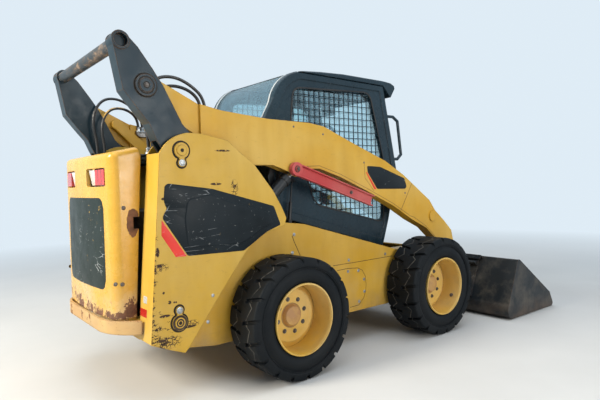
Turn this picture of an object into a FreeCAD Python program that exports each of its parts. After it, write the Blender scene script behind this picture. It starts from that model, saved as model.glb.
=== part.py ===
import FreeCAD
import Part
import math
import os

# Skid steer loader. Millimetres, X forward, Y left, Z up.
# Stations along X count from the rear axle until export() moves the origin to the middle of the length.

V = FreeCAD.Vector

# Overall stations
WHEELBASE = 1486.0
TYRE_RADIUS = 398.0
FRONT = WHEELBASE + 2 * TYRE_RADIUS  # station of the legs and bucket, which moves forward as the tyres grow
BUMPER_REAR = -1118.0
BUCKET_TIP = FRONT + 774.0
ORIGIN_X = (BUMPER_REAR + BUCKET_TIP) / 2.0
PIN_SLACK = 0.4
SEAT = 0.3

# Lateral layers of one side, counted outwards from the centre plane
CAB_HALF = 440.0
CAB_WALL = 40.0
CAB_SIDE_GAP = 45.0
TOWER_INNER = CAB_HALF + CAB_SIDE_GAP
TOWER_PLATE = 12.0
TOWER_OUTER = TOWER_INNER + 182.0
LINK_SIDE_GAP = 28.0
LINK_PLATE = 16.0
TONGUE_GAP = 5.0
ARM_INNER = TOWER_INNER + 45.0
ARM_OUTER = ARM_INNER + 95.0
ARM_WALL = 15.0
SIDE_OUTER = TOWER_INNER + 75.0
SIDE_PLATE = 12.0
FRONT_LINK_PLATE = 15.0
FRONT_LINK_GAP = 9.0

TOWER_CLEAR_IN = TOWER_INNER + TOWER_PLATE
TOWER_CLEAR_OUT = TOWER_OUTER - TOWER_PLATE
LINK_IN = TOWER_CLEAR_IN + LINK_SIDE_GAP + 2.0
LINK_OUT = TOWER_CLEAR_OUT - LINK_SIDE_GAP
TONGUE_IN = LINK_IN + LINK_PLATE + TONGUE_GAP
TONGUE_OUT = LINK_OUT - LINK_PLATE - TONGUE_GAP
CHANNEL_MID = (ARM_INNER + ARM_OUTER) / 2.0

# Pivots, as (x, z)
LINK_PIVOT = (-728.0, 1483.0)
ARM_PIVOT = (-912.0, 1847.0)
FRONT_LINK_ARM = (-680.0, 1760.0)
FRONT_LINK_FRAME = (-50.0, 1170.0)
LIFT_BASE = (-773.0, 484.0)
LIFT_EYE = (158.0, 1375.0)
TILT_BASE = (FRONT - 613.0, 962.0)
TILT_EYE = (FRONT - 68.0, 416.0)
BUCKET_PIVOT = (FRONT - 182.0, 220.0)
TUBE_CENTRE = (-1045.0, 2080.0)
MEMBER_CENTRE = (FRONT - 320.0, 405.0)
BRACE_HEAD = (130.0, 1374.0)
MEMBER_RADIUS = 55.0

# Wheels
TREAD_RADIUS = 380.0
RING_RADIUS = 352.0
BEAD_RADIUS = 228.0
TYRE_WIDTH = 300.0
WHEEL_MIDDLE = SIDE_OUTER + 172.0
TYRE_FLATS = 36
LUG_COUNT = 18
LUG_EDGE = 112.0
LUG_MID = 112.0
LUG_LEAN = 40.0
LUG_OVERLAP = 12.0
LUG_START = -1.8
RIM_WALL = 9.0
BEAD_INSET = 16.0
DISC_OFFSET = -22.0
DISC_THICK = 14.0
HUB_RADIUS = 82.0
HUB_CAP_RADIUS = 70.0
SHAFT_RADIUS = 40.0
HOUSING_RADIUS = 92.0
HOUSING_FLANGE = 118.0
HUB_GAP = 5.0

# Frame
BELLY_Z = 262.0
BELLY_PLATE = 12.0
DECK_PLATE = 10.0
FRONT_FACE = FRONT - 582.0
TOWER_FRONT = [(-744, 299), (-720, 320), (-494, 614), (-305, 849), (-241, 908), (-127, 965), (8, 996)]
TOWER_REAR = [(-862, 1467), (-947, 386), (-885, 357), (-744, 299)]

# Rear door
DOOR_REAR = -1108.0
DOOR_BOW = 38.0
DOOR_HALF = TOWER_INNER - 15.0
DOOR_SHELL = 24.0
DOOR_LOW = 512.0
DOOR_TOP_REAR = 1472.0
DOOR_TOP_FRONT = 1518.0
DOOR_CORNER = 62.0
DOOR_EDGE = 38.0
HINGE_X = -975.0
HINGE_Y = TOWER_INNER - 1.0
HINGE_RADIUS = 9.0

# Cab
MESH_PITCH = 52.0
MESH_WIRE = 5.0
GLASS = 6.0

# Bucket
BUCKET_HALF = WHEEL_MIDDLE + 299.0
BUCKET_WALL = 12.0
EDGE_THICK = 10.0

# Cylinders
LIFT_BORE_RADIUS = 40.0
LIFT_ROD_RADIUS = 25.0
TILT_BORE_RADIUS = 36.0
TILT_ROD_RADIUS = 20.0
PIN_RADIUS = 22.0
EYE_RADIUS = 44.0


# Hoses, each given as a side and a route of (x, y, z) points, with y counted outwards from the tower

HOSES = {
    "hose_right_outer": (-1, [(-842, -17, 1476), (-842, -17, 1594), (-866, -15, 1712), (-860, -11, 1830),
                              (-794, -1, 1928), (-686, 12, 1946), (-582, 24, 1906), (-482, 33, 1818),
                              (-482, 33, 1712)]),
    "hose_right_inner": (-1, [(-806, -42, 1476), (-806, -42, 1584), (-828, -41, 1694), (-814, -37, 1800),
                              (-752, -26, 1880), (-657, -7, 1896), (-564, 15, 1862), (-514, 33, 1790),
                              (-514, 33, 1712)]),
    "hose_left_outer": (1, [(-846, -17, 1476), (-846, -17, 1598), (-872, -15, 1718), (-864, -11, 1838),
                            (-794, -1, 1938), (-684, 12, 1954), (-580, 24, 1912), (-482, 33, 1822),
                            (-482, 33, 1712)]),
    "hose_left_inner": (1, [(-802, -42, 1476), (-802, -42, 1578), (-822, -41, 1684), (-808, -37, 1786),
                            (-750, -26, 1864), (-657, -7, 1882), (-564, 15, 1852), (-514, 33, 1786),
                            (-514, 33, 1712)]),
}
FITTING_RADIUS = 15.0


def outline(points):
    """Face in the XZ plane; a point written ("arc", middle, end) is an arc from the point before it."""
    ends = [p if p[0] != "arc" else p[2] for p in points]
    edges = []
    for index in range(1, len(points) + 1):
        start = V(ends[index - 1][0], 0, ends[index - 1][1])
        item = points[index % len(points)]
        finish = ends[index % len(points)]
        stop = V(finish[0], 0, finish[1])
        if item[0] == "arc":
            middle = V(item[1][0], 0, item[1][1])
            edges.append(Part.Arc(start, middle, stop).toShape())
        else:
            edges.append(Part.makeLine(start, stop))
    return Part.Face(Part.Wire(edges))


def plate(points, y_low, y_high):
    face = outline(points)
    face.translate(V(0, y_low, 0))
    solid = face.extrude(V(0, y_high - y_low, 0))
    return solid


def across(x, z, radius, y_low, y_high):
    return Part.makeCylinder(radius, y_high - y_low, V(x, y_low, z), V(0, 1, 0))


def between(start, stop, radius):
    step = stop.sub(start)
    return Part.makeCylinder(radius, step.Length, start, step)


def box(x_low, x_high, y_low, y_high, z_low, z_high):
    return Part.makeBox(x_high - x_low, y_high - y_low, z_high - z_low, V(x_low, y_low, z_low))


def fused(shapes):
    solid = shapes[0]
    if len(shapes) > 1:
        solid = solid.multiFuse(shapes[1:])
    return solid.removeSplitter()


def mirrored(shape):
    return shape.mirror(V(0, 0, 0), V(0, 1, 0))


def pair(shape):
    return Part.makeCompound([shape, mirrored(shape)])


def inset(points, distance):
    """Open polyline moved to its left by a distance, with mitred corners."""
    moved = []
    for index, point in enumerate(points):
        normals = []
        for a, b in ((index - 1, index), (index, index + 1)):
            if a < 0 or b >= len(points):
                continue
            dx = points[b][0] - points[a][0]
            dz = points[b][1] - points[a][1]
            length = math.hypot(dx, dz)
            normals.append((-dz / length, dx / length))
        nx = sum(n[0] for n in normals) / len(normals)
        nz = sum(n[1] for n in normals) / len(normals)
        size = nx * nx + nz * nz
        moved.append((point[0] + distance * nx / size, point[1] + distance * nz / size))
    return moved


def strip(path, thickness, y_low, y_high):
    return plate(list(path) + list(reversed(inset(path, thickness))), y_low, y_high)


def export(node, shape):
    shape = shape.copy()
    shape.translate(V(-ORIGIN_X, 0, 0))
    shape.exportStep("parts/" + node + ".step")


# Frame and towers

TOWER_OUTLINE = [
    (-850, 1485),
    ("arc", (-786, 1549), (-683, 1587)),
    (-590, 1585),
    (-416, 1551),
    (-344, 1490),
    (-225, 1404),
    (-77, 1226),
    (-13, 1121),
    (23, 1044),
] + list(reversed(TOWER_FRONT)) + list(reversed(TOWER_REAR[:3]))

INNER_OUTLINE = [
    (-850, 1485),
    ("arc", (-786, 1549), (-683, 1587)),
    (-590, 1585),
    (-416, 1551),
    (-150, 1410),
    (40, 1240),
    ("arc", (64, 1150), (8, 1090)),
] + list(reversed(TOWER_FRONT)) + list(reversed(TOWER_REAR[:3]))

KEEPER_LENGTH = 72.0
KEEPER_THICK = 8.0
PIN_HEAD = 14.0
PIN_HEAD_RADIUS = 31.0


def keeper(pivot, direction):
    """Keyhole plate that stops a pin from turning, with its bolt boss above or below the pin."""
    x, z = pivot
    end = z + direction * KEEPER_LENGTH
    low = TOWER_OUTER
    high = TOWER_OUTER + KEEPER_THICK
    arm = box(x - 17, x + 17, low, high, min(z, end), max(z, end))
    return fused([across(x, z, 46, low, high), across(x, end, 24, low, high), arm])


def tower():
    outer = plate(TOWER_OUTLINE, TOWER_CLEAR_OUT, TOWER_OUTER)
    inner = plate(INNER_OUTLINE, TOWER_INNER, TOWER_CLEAR_IN)
    rear = strip(TOWER_REAR, TOWER_PLATE, TOWER_CLEAR_IN, TOWER_CLEAR_OUT)
    front = strip(TOWER_FRONT[:4], TOWER_PLATE, TOWER_CLEAR_IN, TOWER_CLEAR_OUT)
    pieces = [outer, inner, rear, front]
    for pivot, direction in ((LINK_PIVOT, -1), (LIFT_BASE, 1)):
        pieces.append(across(pivot[0], pivot[1], PIN_RADIUS, TOWER_CLEAR_IN, TOWER_CLEAR_OUT))
        pieces.append(across(pivot[0], pivot[1], PIN_HEAD_RADIUS, TOWER_OUTER, TOWER_OUTER + PIN_HEAD))
        pieces.append(keeper(pivot, direction))
        for low, high in ((TOWER_CLEAR_IN, LINK_IN - SEAT), (LINK_OUT + SEAT, TOWER_CLEAR_OUT)):
            pieces.append(across(pivot[0], pivot[1], 38, low, high))
    x, z = FRONT_LINK_FRAME
    pieces.append(across(x, z, 42, TOWER_CLEAR_IN, ARM_INNER - FRONT_LINK_GAP - FRONT_LINK_PLATE - SEAT))
    pieces.append(across(x, z, PIN_RADIUS, TOWER_CLEAR_IN, ARM_INNER - FRONT_LINK_GAP + SEAT))
    return fused(pieces)


def hinge_bracket(z_low, z_high):
    """Frame half of one rear door hinge, welded to the left tower."""
    reach = box(HINGE_X, -865, TOWER_INNER, TOWER_CLEAR_IN, z_low, z_high)
    knuckle = Part.makeCylinder(HINGE_RADIUS, z_high - z_low, V(HINGE_X, HINGE_Y, z_low))
    return fused([reach, knuckle])


HINGE_HEIGHTS = (640.0, 1240.0)
HINGE_LENGTH = 60.0


def towers():
    right = mirrored(tower())
    brackets = [hinge_bracket(z, z + HINGE_LENGTH) for z in HINGE_HEIGHTS]
    left = fused([tower()] + brackets)
    return Part.makeCompound([left, right])


STOP_OUTLINE = [(12, 1186), (52, 1186), (92, 1300), (96, 1400),
                (60, 1432), (30, 1410), (-8, 1326), (12, 1240)]
STOP_SLOT = (56.0, 1312.0, 1350.0, 11.0)


def boom_stops():
    """Dark plates with an oblong hole, on the inner plate of each tower."""
    x, z_low, z_high, radius = STOP_SLOT
    low = TOWER_CLEAR_IN
    high = low + 11.0
    body = plate(STOP_OUTLINE, low, high)
    slot = fused([across(x, z_low, radius, low - 1, high + 1), across(x, z_high, radius, low - 1, high + 1),
                  box(x - radius, x + radius, low - 1, high + 1, z_low, z_high)])
    return pair(body.cut(slot))


SIDE_TOP = [(97, 1003), (261, 982), (FRONT - 1022, 699), (FRONT_FACE - 80, 699)]
SIDE_FRONT = [(FRONT_FACE, 640), (FRONT_FACE, 330), (FRONT_FACE - 100, BELLY_Z)]
SHELF_START = (75.0, 996.0)


def main_frame():
    """Tub of two side plates, belly, front and rear cross plates, shelves and the four axle tubes."""
    side = plate(list(TOWER_FRONT) + SIDE_TOP + SIDE_FRONT + [(-484, BELLY_Z)],
                 SIDE_OUTER - SIDE_PLATE, SIDE_OUTER)
    inner = SIDE_OUTER - SIDE_PLATE
    belly = box(-484, FRONT_FACE - 100, -inner, inner, BELLY_Z, BELLY_Z + BELLY_PLATE)
    tail_path = [(-944, 380), (-744, 299), (-484, BELLY_Z)]
    tail = strip(tail_path, BELLY_PLATE, -TOWER_INNER, TOWER_INNER)
    nose = box(FRONT_FACE - BELLY_PLATE, FRONT_FACE, -inner, inner, 330, 640)
    nose_low = strip([(FRONT_FACE - 100, BELLY_Z), (FRONT_FACE, 330)], BELLY_PLATE, -inner, inner)
    sill = strip([(FRONT_FACE, 640), (FRONT_FACE - 60, 690)], BELLY_PLATE, -inner, inner)
    rear_beam = box(-944, -932, -TOWER_INNER, TOWER_INNER, 380, 500)
    bulkhead = box(70, 82, -inner, inner, BELLY_Z, 996)
    shelf = strip([SHELF_START] + SIDE_TOP[1:], -DECK_PLATE, CAB_HALF, inner)
    pieces = [side, mirrored(side), belly, tail, nose, nose_low, sill, rear_beam, bulkhead, shelf,
              mirrored(shelf)]
    return fused(pieces)


def axle_housings():
    """Flanged tubes on the frame sides, each bored for its wheel shaft."""
    reach = WHEEL_MIDDLE + DISC_OFFSET - 50.0
    solids = []
    for x in (0.0, WHEELBASE):
        tube = across(x, TYRE_RADIUS, HOUSING_RADIUS, SIDE_OUTER, reach)
        flange = across(x, TYRE_RADIUS, HOUSING_FLANGE, SIDE_OUTER, SIDE_OUTER + 16)
        bore = across(x, TYRE_RADIUS, SHAFT_RADIUS + PIN_SLACK, SIDE_OUTER + 20, reach + 1)
        solids.append(fused([tube, flange]).cut(bore))
    solids += [mirrored(s) for s in solids]
    return Part.makeCompound(solids)


BUMPER_TOP = 505.0
BUMPER_LOW = 425.0
BUMPER_PLATE = 18.0


def rear_bumper():
    """Curved band round the foot of the engine door, on two brackets from the towers."""
    y_flat = 300.0
    y_end = 560.0
    outer = [V(-952, -y_end, BUMPER_LOW), V(BUMPER_REAR, -y_flat, BUMPER_LOW)]
    wall = Part.Wire([
        Part.Arc(outer[0], V(-1062, -460, BUMPER_LOW), outer[1]).toShape(),
        Part.makeLine(outer[1], V(BUMPER_REAR, y_flat, BUMPER_LOW)),
        Part.Arc(V(BUMPER_REAR, y_flat, BUMPER_LOW), V(-1062, 460, BUMPER_LOW),
                 V(-952, y_end, BUMPER_LOW)).toShape(),
        Part.makeLine(V(-952, y_end, BUMPER_LOW), V(-952, y_end - 26, BUMPER_LOW)),
        Part.Arc(V(-952, y_end - 26, BUMPER_LOW), V(-1050, 446, BUMPER_LOW),
                 V(BUMPER_REAR + BUMPER_PLATE, y_flat - 8, BUMPER_LOW)).toShape(),
        Part.makeLine(V(BUMPER_REAR + BUMPER_PLATE, y_flat - 8, BUMPER_LOW),
                      V(BUMPER_REAR + BUMPER_PLATE, 8 - y_flat, BUMPER_LOW)),
        Part.Arc(V(BUMPER_REAR + BUMPER_PLATE, 8 - y_flat, BUMPER_LOW), V(-1050, -446, BUMPER_LOW),
                 V(-952, 26 - y_end, BUMPER_LOW)).toShape(),
        Part.makeLine(V(-952, 26 - y_end, BUMPER_LOW), outer[0]),
    ])
    band = Part.Face(wall).extrude(V(0, 0, BUMPER_TOP - BUMPER_LOW))
    bracket = box(BUMPER_REAR + BUMPER_PLATE, -944, 300, 316, BUMPER_LOW, BUMPER_TOP - 25)
    return fused([band, bracket, mirrored(bracket)])


ENGINE_LOW = 420.0
ENGINE_HIGH = 1120.0


def engine_block():
    block = box(-800, -120, -270, 270, ENGINE_LOW, ENGINE_HIGH)
    feet = [box(x, x + 60, -270, 270, 274, ENGINE_LOW) for x in (-480, -180)]
    return fused([block] + feet)


# Rear door and top guard

DOOR_FRONT_HIGH = -893.0
DOOR_FRONT_LOW = -950.0
LAMP_LOW = 1285.0
LAMP_HIGH = 1393.0
LAMP_INNER = 125.0
LAMP_SPLIT = 250.0
LAMP_OUTER = 394.0
LAMP_BACK = DOOR_REAR + 78.0
LATCH = (-950.0, 1032.0, 1102.0)


def door_block(shrink, z_low, z_high):
    """Block with the door's bowed plan and rounded corners, moved in by a wall thickness."""
    half = DOOR_HALF - shrink
    rear = DOOR_REAR + shrink
    side = rear + DOOR_BOW
    front = DOOR_FRONT_HIGH + 2 * shrink
    plan = Part.Wire([
        Part.makeLine(V(front, -half, z_low), V(side, -half, z_low)),
        Part.Arc(V(side, -half, z_low), V(rear, 0, z_low), V(side, half, z_low)).toShape(),
        Part.makeLine(V(side, half, z_low), V(front, half, z_low)),
        Part.makeLine(V(front, half, z_low), V(front, -half, z_low)),
    ])
    block = Part.Face(plan).extrude(V(0, 0, z_high - z_low))
    uprights = [e for e in block.Edges
                if abs(e.Vertexes[0].X - side) < 1 and abs(e.Vertexes[-1].X - side) < 1
                and abs(e.Vertexes[0].Z - e.Vertexes[-1].Z) > 1]
    return block.makeFillet(DOOR_CORNER - shrink, uprights)


def door_top():
    """Everything above the door's sloping top."""
    rise = (DOOR_TOP_FRONT - DOOR_TOP_REAR) / (DOOR_FRONT_HIGH - DOOR_REAR)
    start = DOOR_REAR - 50
    finish = DOOR_FRONT_HIGH + 50
    return plate([(start, DOOR_TOP_REAR - 50 * rise), (finish, DOOR_TOP_FRONT + 50 * rise),
                  (finish, DOOR_TOP_FRONT + 200), (start, DOOR_TOP_FRONT + 200)],
                 -DOOR_HALF - 5, DOOR_HALF + 5)


def rear_door():
    """Bowed, wrap-round engine door with lamp recesses, latch notch and its hinge knuckles."""
    shell = door_block(0.0, DOOR_LOW, DOOR_TOP_FRONT + 100).cut(door_top())
    rim = [e for e in shell.Edges
           if e.BoundBox.ZMin > DOOR_TOP_REAR - 30 and e.BoundBox.XMin < DOOR_FRONT_HIGH - 1]
    shell = shell.makeFillet(DOOR_EDGE, rim)
    shell = shell.cut(door_block(DOOR_SHELL, DOOR_LOW + DOOR_SHELL, DOOR_TOP_REAR - 32))
    low = DOOR_LOW - 5
    high = DOOR_TOP_FRONT + 5
    ahead = DOOR_FRONT_HIGH + 200
    slant = plate([(DOOR_FRONT_LOW, low), (ahead, low), (ahead, high), (DOOR_FRONT_HIGH - 32, high),
                   (DOOR_FRONT_HIGH - 10, high - 22), (DOOR_FRONT_HIGH, high - 62)],
                  -DOOR_HALF - 5, DOOR_HALF + 5)
    shell = shell.cut(slant)
    for side in (-1, 1):
        start = min(side * LAMP_INNER, side * LAMP_OUTER)
        pocket = box(DOOR_REAR - 5, LAMP_BACK, start, start + LAMP_OUTER - LAMP_INNER, LAMP_LOW, LAMP_HIGH)
        pocket = pocket.makeFillet(12, [e for e in pocket.Edges
                                        if abs(e.Vertexes[0].X - e.Vertexes[1].X) > 1])
        shell = shell.cut(pocket)
    x, z_low, z_high = LATCH
    shell = shell.cut(box(x, ahead, -DOOR_HALF - 5, -DOOR_HALF + DOOR_SHELL + 5, z_low, z_high))
    knuckles = []
    for z in HINGE_HEIGHTS:
        top = z + HINGE_LENGTH + SEAT
        leaf = box(HINGE_X - 30, HINGE_X, DOOR_HALF - DOOR_SHELL, HINGE_Y, top, top + HINGE_LENGTH)
        knuckle = Part.makeCylinder(HINGE_RADIUS, HINGE_LENGTH, V(HINGE_X, HINGE_Y, top))
        knuckles += [leaf, knuckle]
    return fused([shell] + knuckles)


def tail_lamps():
    """Lamp housings in the door's recesses, each with a slanted outer lens and a leaning inner lens."""
    face = LAMP_BACK - 28
    house = box(face, LAMP_BACK + 6, LAMP_INNER + SEAT, LAMP_OUTER - SEAT, LAMP_LOW + SEAT, LAMP_HIGH - SEAT)
    house = house.makeFillet(12, [e for e in house.Edges if abs(e.Vertexes[0].X - e.Vertexes[1].X) > 1])
    corners = [V(face, LAMP_SPLIT + 4, LAMP_LOW + 8), V(DOOR_REAR + 14, LAMP_SPLIT + 4, LAMP_LOW + 8),
               V(DOOR_REAR + 24, LAMP_OUTER - 6, LAMP_LOW + 8), V(face, LAMP_OUTER - 6, LAMP_LOW + 8)]
    outer = Part.Face(Part.makePolygon(corners + [corners[0]])).extrude(V(0, 0, LAMP_HIGH - LAMP_LOW - 16))
    inner = plate([(face, LAMP_LOW + 8), (DOOR_REAR + 32, LAMP_LOW + 8), (DOOR_REAR + 14, LAMP_HIGH - 8),
                   (face, LAMP_HIGH - 8)], LAMP_INNER + 14, LAMP_SPLIT - 6)
    return pair(fused([house, outer, inner]))


GUARD_HALF = TOWER_INNER - 60.0
GUARD_Z = 1452.0
GUARD_FRONT = -95.0
GUARD_REAR = -880.0
GUARD_THICK = 22.0
SLOT_PITCH = 60.0


def hood_frame():
    """Top of the engine bay between the towers, open below the hinged guard."""
    top = GUARD_Z + GUARD_THICK
    deck = box(GUARD_REAR - 5, 10, -TOWER_INNER, TOWER_INNER, GUARD_Z - 12, GUARD_Z)
    opening = box(GUARD_REAR + 40, GUARD_FRONT - 30, -GUARD_HALF + 40, GUARD_HALF - 40,
                  GUARD_Z - 20, GUARD_Z + 5)
    sill = box(GUARD_FRONT + 14, 10, -TOWER_INNER + 2, TOWER_INNER - 2, GUARD_Z, top + 30)
    pieces = [deck.cut(opening), sill]
    for side, route in HOSES.values():
        x, y, z = route[0]
        foot = V(x, side * (TOWER_INNER + y), GUARD_Z)
        pieces.append(Part.makeCylinder(FITTING_RADIUS, z - GUARD_Z, foot))
    return fused(pieces)


def top_guard():
    """Hinged cooling air grille, slotted over its whole width."""
    top = GUARD_Z + GUARD_THICK
    body = box(GUARD_REAR, GUARD_FRONT, -GUARD_HALF, GUARD_HALF, GUARD_Z + SEAT, top)
    body = body.makeFillet(8, [e for e in body.Edges if all(v.Z > top - 1 for v in e.Vertexes)])
    count = int((GUARD_FRONT - GUARD_REAR - 120) / SLOT_PITCH)
    start = GUARD_REAR + 70
    slots = []
    for row in range(count):
        for low in (-GUARD_HALF + 50, 25):
            x = start + row * SLOT_PITCH
            slots.append(box(x, x + 0.55 * SLOT_PITCH, low, low + GUARD_HALF - 75, GUARD_Z - 5, top + 5))
    barrel = across(GUARD_FRONT, GUARD_Z + 12, 10, -GUARD_HALF, GUARD_HALF)
    return fused([body.cut(Part.makeCompound(slots)), barrel])


# Rear links and torque tube

LINK_REAR = [(-1094, 2095), (-1041, 1813), (-957, 1706), (-898, 1635), (-856, 1539)]
LINK_OUTLINE = [
    (-1094, 2095),
    ("arc", (-1054, 2133), (-1004, 2108)),
    (-950, 2056),
    (-866, 1942),
    (-808, 1856),
    (-695, 1640),
    (-650, 1595),
    (-650, 1483),
    ("arc", (-728, 1405), (-800, 1458)),
] + list(reversed(LINK_REAR[1:]))
SLEEVE_RADIUS = 50.0
TUBE_RADIUS = 38.0


def rear_link():
    plates = []
    for low in (LINK_IN, LINK_OUT - LINK_PLATE):
        plates.append(plate(LINK_OUTLINE, low, low + LINK_PLATE))
    web = strip(LINK_REAR, LINK_PLATE, LINK_IN, LINK_OUT)
    x, z = TUBE_CENTRE
    sleeve = across(x, z, SLEEVE_RADIUS, LINK_IN, LINK_OUT + 7)
    solid = fused(plates + [web, sleeve])
    solid = solid.cut(across(x, z, SLEEVE_RADIUS - 13, LINK_OUT - 30, LINK_OUT + 10))
    x, z = LINK_PIVOT
    solid = solid.cut(across(x, z, PIN_RADIUS + PIN_SLACK, LINK_IN - 5, LINK_OUT + 5))
    x, z = ARM_PIVOT
    pin = across(x, z, PIN_RADIUS, LINK_IN, LINK_OUT)
    head = across(x, z, 62, LINK_OUT, LINK_OUT + 10)
    boss = across(x, z, 40, LINK_OUT + 10, LINK_OUT + 16)
    return fused([solid, pin, head, boss])


def rear_links():
    return pair(rear_link())


def torque_tube():
    x, z = TUBE_CENTRE
    return across(x, z, TUBE_RADIUS, -LINK_IN, LINK_IN)


# Lift arms

ARM_TOP = [
    (-575, 1768),
    (-431, 1740),
    (-81, 1709),
    (282, 1701),
    (414, 1683),
    (724, 1565),
    (FRONT - 1213, 1439),
    (FRONT - 991, 1324),
    (FRONT - 650, 1101),
    (FRONT - 570, 1006),
    (FRONT - 438, 905),
    (FRONT - 336, 814),
    (FRONT - 311, 728),
    (FRONT - 252, 560),
    (FRONT - 190, 400),
]
ARM_BOTTOM = [
    (FRONT - 357, 335),
    (FRONT - 374, 450),
    (FRONT - 410, 585),
    (FRONT - 487, 692),
    (FRONT - 593, 776),
    (FRONT - 705, 863),
    (FRONT - 889, 945),
    (FRONT - 1122, 1072),
    (867, 1196),
    (570, 1315),
    (364, 1378),
    (246, 1373),
    (208, 1360),
    ("arc", (158, 1322), (104, 1352)),
    (-45, 1402),
    (-197, 1403),
    (-560, 1560),
]
LEG_WELD_LOW = (FRONT - 1035.0, 1025.0)
LEG_WELD_HIGH = (FRONT - 883.0, 1255.0)
TONGUE_FRONT = -575.0
PIVOT_BOSS = 74.0
FOOT_BOSS = 62.0
POCKET = [(-330, 1300), (310, 1300), (300, 1480), (200, 1520), (-60, 1520), (-330, 1450)]


def arm_outline():
    x, z = ARM_PIVOT
    fx, fz = BUCKET_PIVOT
    heel = [(x - 30, z - 68), ("arc", (x - PIVOT_BOSS, z + 8), (x + 22, z + 71))]
    foot = [(fx + FOOT_BOSS, fz + 10), ("arc", (fx + 8, fz - FOOT_BOSS), (fx - 58, fz - 22))]
    return heel + ARM_TOP + foot + ARM_BOTTOM


def leg_side():
    """All of the arm in front of the weld where its leg starts."""
    x, z = LEG_WELD_LOW
    dx = LEG_WELD_HIGH[0] - x
    dz = LEG_WELD_HIGH[1] - z
    start = (x - dx, z - dz)
    finish = (x + 2 * dx, z + 2 * dz)
    ahead = BUCKET_PIVOT[0] + 300
    return plate([start, finish, (ahead, finish[1]), (ahead, 0), (start[0], 0)],
                 ARM_INNER - 1, ARM_OUTER + 1)


def lift_arm():
    """Box arm with a thin rear tongue and a pocket for the lift rod."""
    body = plate(arm_outline(), ARM_INNER, ARM_OUTER).cut(leg_side())
    for low, high in ((ARM_INNER - 1, TONGUE_IN), (TONGUE_OUT, ARM_OUTER + 1)):
        body = body.cut(box(-1100, TONGUE_FRONT, low, high, 1200, 2000))
    body = body.cut(plate(POCKET, ARM_INNER + ARM_WALL, ARM_OUTER - ARM_WALL))
    x, z = ARM_PIVOT
    body = body.cut(across(x, z, PIN_RADIUS + PIN_SLACK, TONGUE_IN - 5, TONGUE_OUT + 5))
    pieces = [body]
    x, z = LIFT_EYE
    pieces.append(across(x, z, 40, ARM_OUTER, ARM_OUTER + 9))
    x, z = FRONT_LINK_ARM
    pieces.append(across(x, z, 36, ARM_INNER - FRONT_LINK_GAP + 3, TONGUE_IN))
    return fused(pieces)


def arm_leg():
    """Leg that bends down round the front tyre, with an ear for the tilt cylinder."""
    body = plate(arm_outline(), ARM_INNER, ARM_OUTER).common(leg_side())
    x, z = BUCKET_PIVOT
    body = body.cut(across(x, z, PIN_RADIUS + PIN_SLACK, ARM_INNER - 5, ARM_OUTER + 5))
    x, z = TILT_BASE
    pieces = [body]
    pieces.append(across(x, z, 48, ARM_OUTER, ARM_OUTER + 10))
    pieces.append(across(x, z, PIN_RADIUS, TILT_EAR_IN, ARM_INNER))
    pieces.append(across(x, z, 46, TILT_EAR_IN, TILT_EAR_IN + EAR_PLATE))
    pieces.append(plate([(x - 60, z + 46), (x + 20, z + 46), (x + 46, z + 8), (x, z - 46), (x - 60, z - 20)],
                        TILT_EAR_IN, TILT_EAR_IN + EAR_PLATE))
    pieces.append(box(x - 76, x - 56, TILT_EAR_IN, ARM_INNER, z - 20, z + 46))
    return fused(pieces)


EAR_PLATE = 12.0
EAR_GAP = 6.0
TILT_GAP = 86.0
TILT_EAR_IN = ARM_INNER - EAR_GAP - 2 * EAR_PLATE - TILT_GAP
TILT_MID = (TILT_EAR_IN + EAR_PLATE + ARM_INNER - EAR_GAP - EAR_PLATE) / 2.0


def lift_arms():
    return pair(lift_arm())


def arm_legs():
    return pair(arm_leg())


def arm_member():
    x, z = MEMBER_CENTRE
    return across(x, z, MEMBER_RADIUS, -ARM_INNER, ARM_INNER)


BRACE_WIDTH = 76.0
BRACE_LENGTH = 790.0
BRACE_ANGLE = -18.4
BRACE_DEPTH = 34.0


def lock_brace():
    """Channel that props the raised arms, pinned at its head and stowed along the right arm."""
    x, z = BRACE_HEAD
    low = ARM_OUTER + 9 + SEAT
    half = BRACE_WIDTH / 2.0
    web = box(x, x + BRACE_LENGTH, low, low + 8, z - half, z + half)
    flanges = [box(x, x + BRACE_LENGTH, low, low + BRACE_DEPTH, z + s * half - 4, z + s * half + 4)
               for s in (-1, 1)]
    head = across(x, z, 47, low, low + BRACE_DEPTH)
    pin = across(x, z, 16, low + BRACE_DEPTH, low + BRACE_DEPTH + 10)
    brace = fused([web, head, pin] + flanges)
    brace.rotate(V(x, 0, z), V(0, 1, 0), -BRACE_ANGLE)
    return mirrored(brace)


STEEL_TUBE_RADIUS = 8.0
HOSE_RADIUS = 10.0
OIL_TUBE_ROUTE = [(-466, 1700), (-120, 1652), (380, 1606), (FRONT - 1202, 1340), (FRONT - 722, 1040)]
OIL_TUBE_STEP = 22.0
MANIFOLD = [(-534, 1712), (-534, 1692), (-508, 1670), (-462, 1670), (-462, 1712)]
CLIP_WIDTH = 30.0


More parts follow.
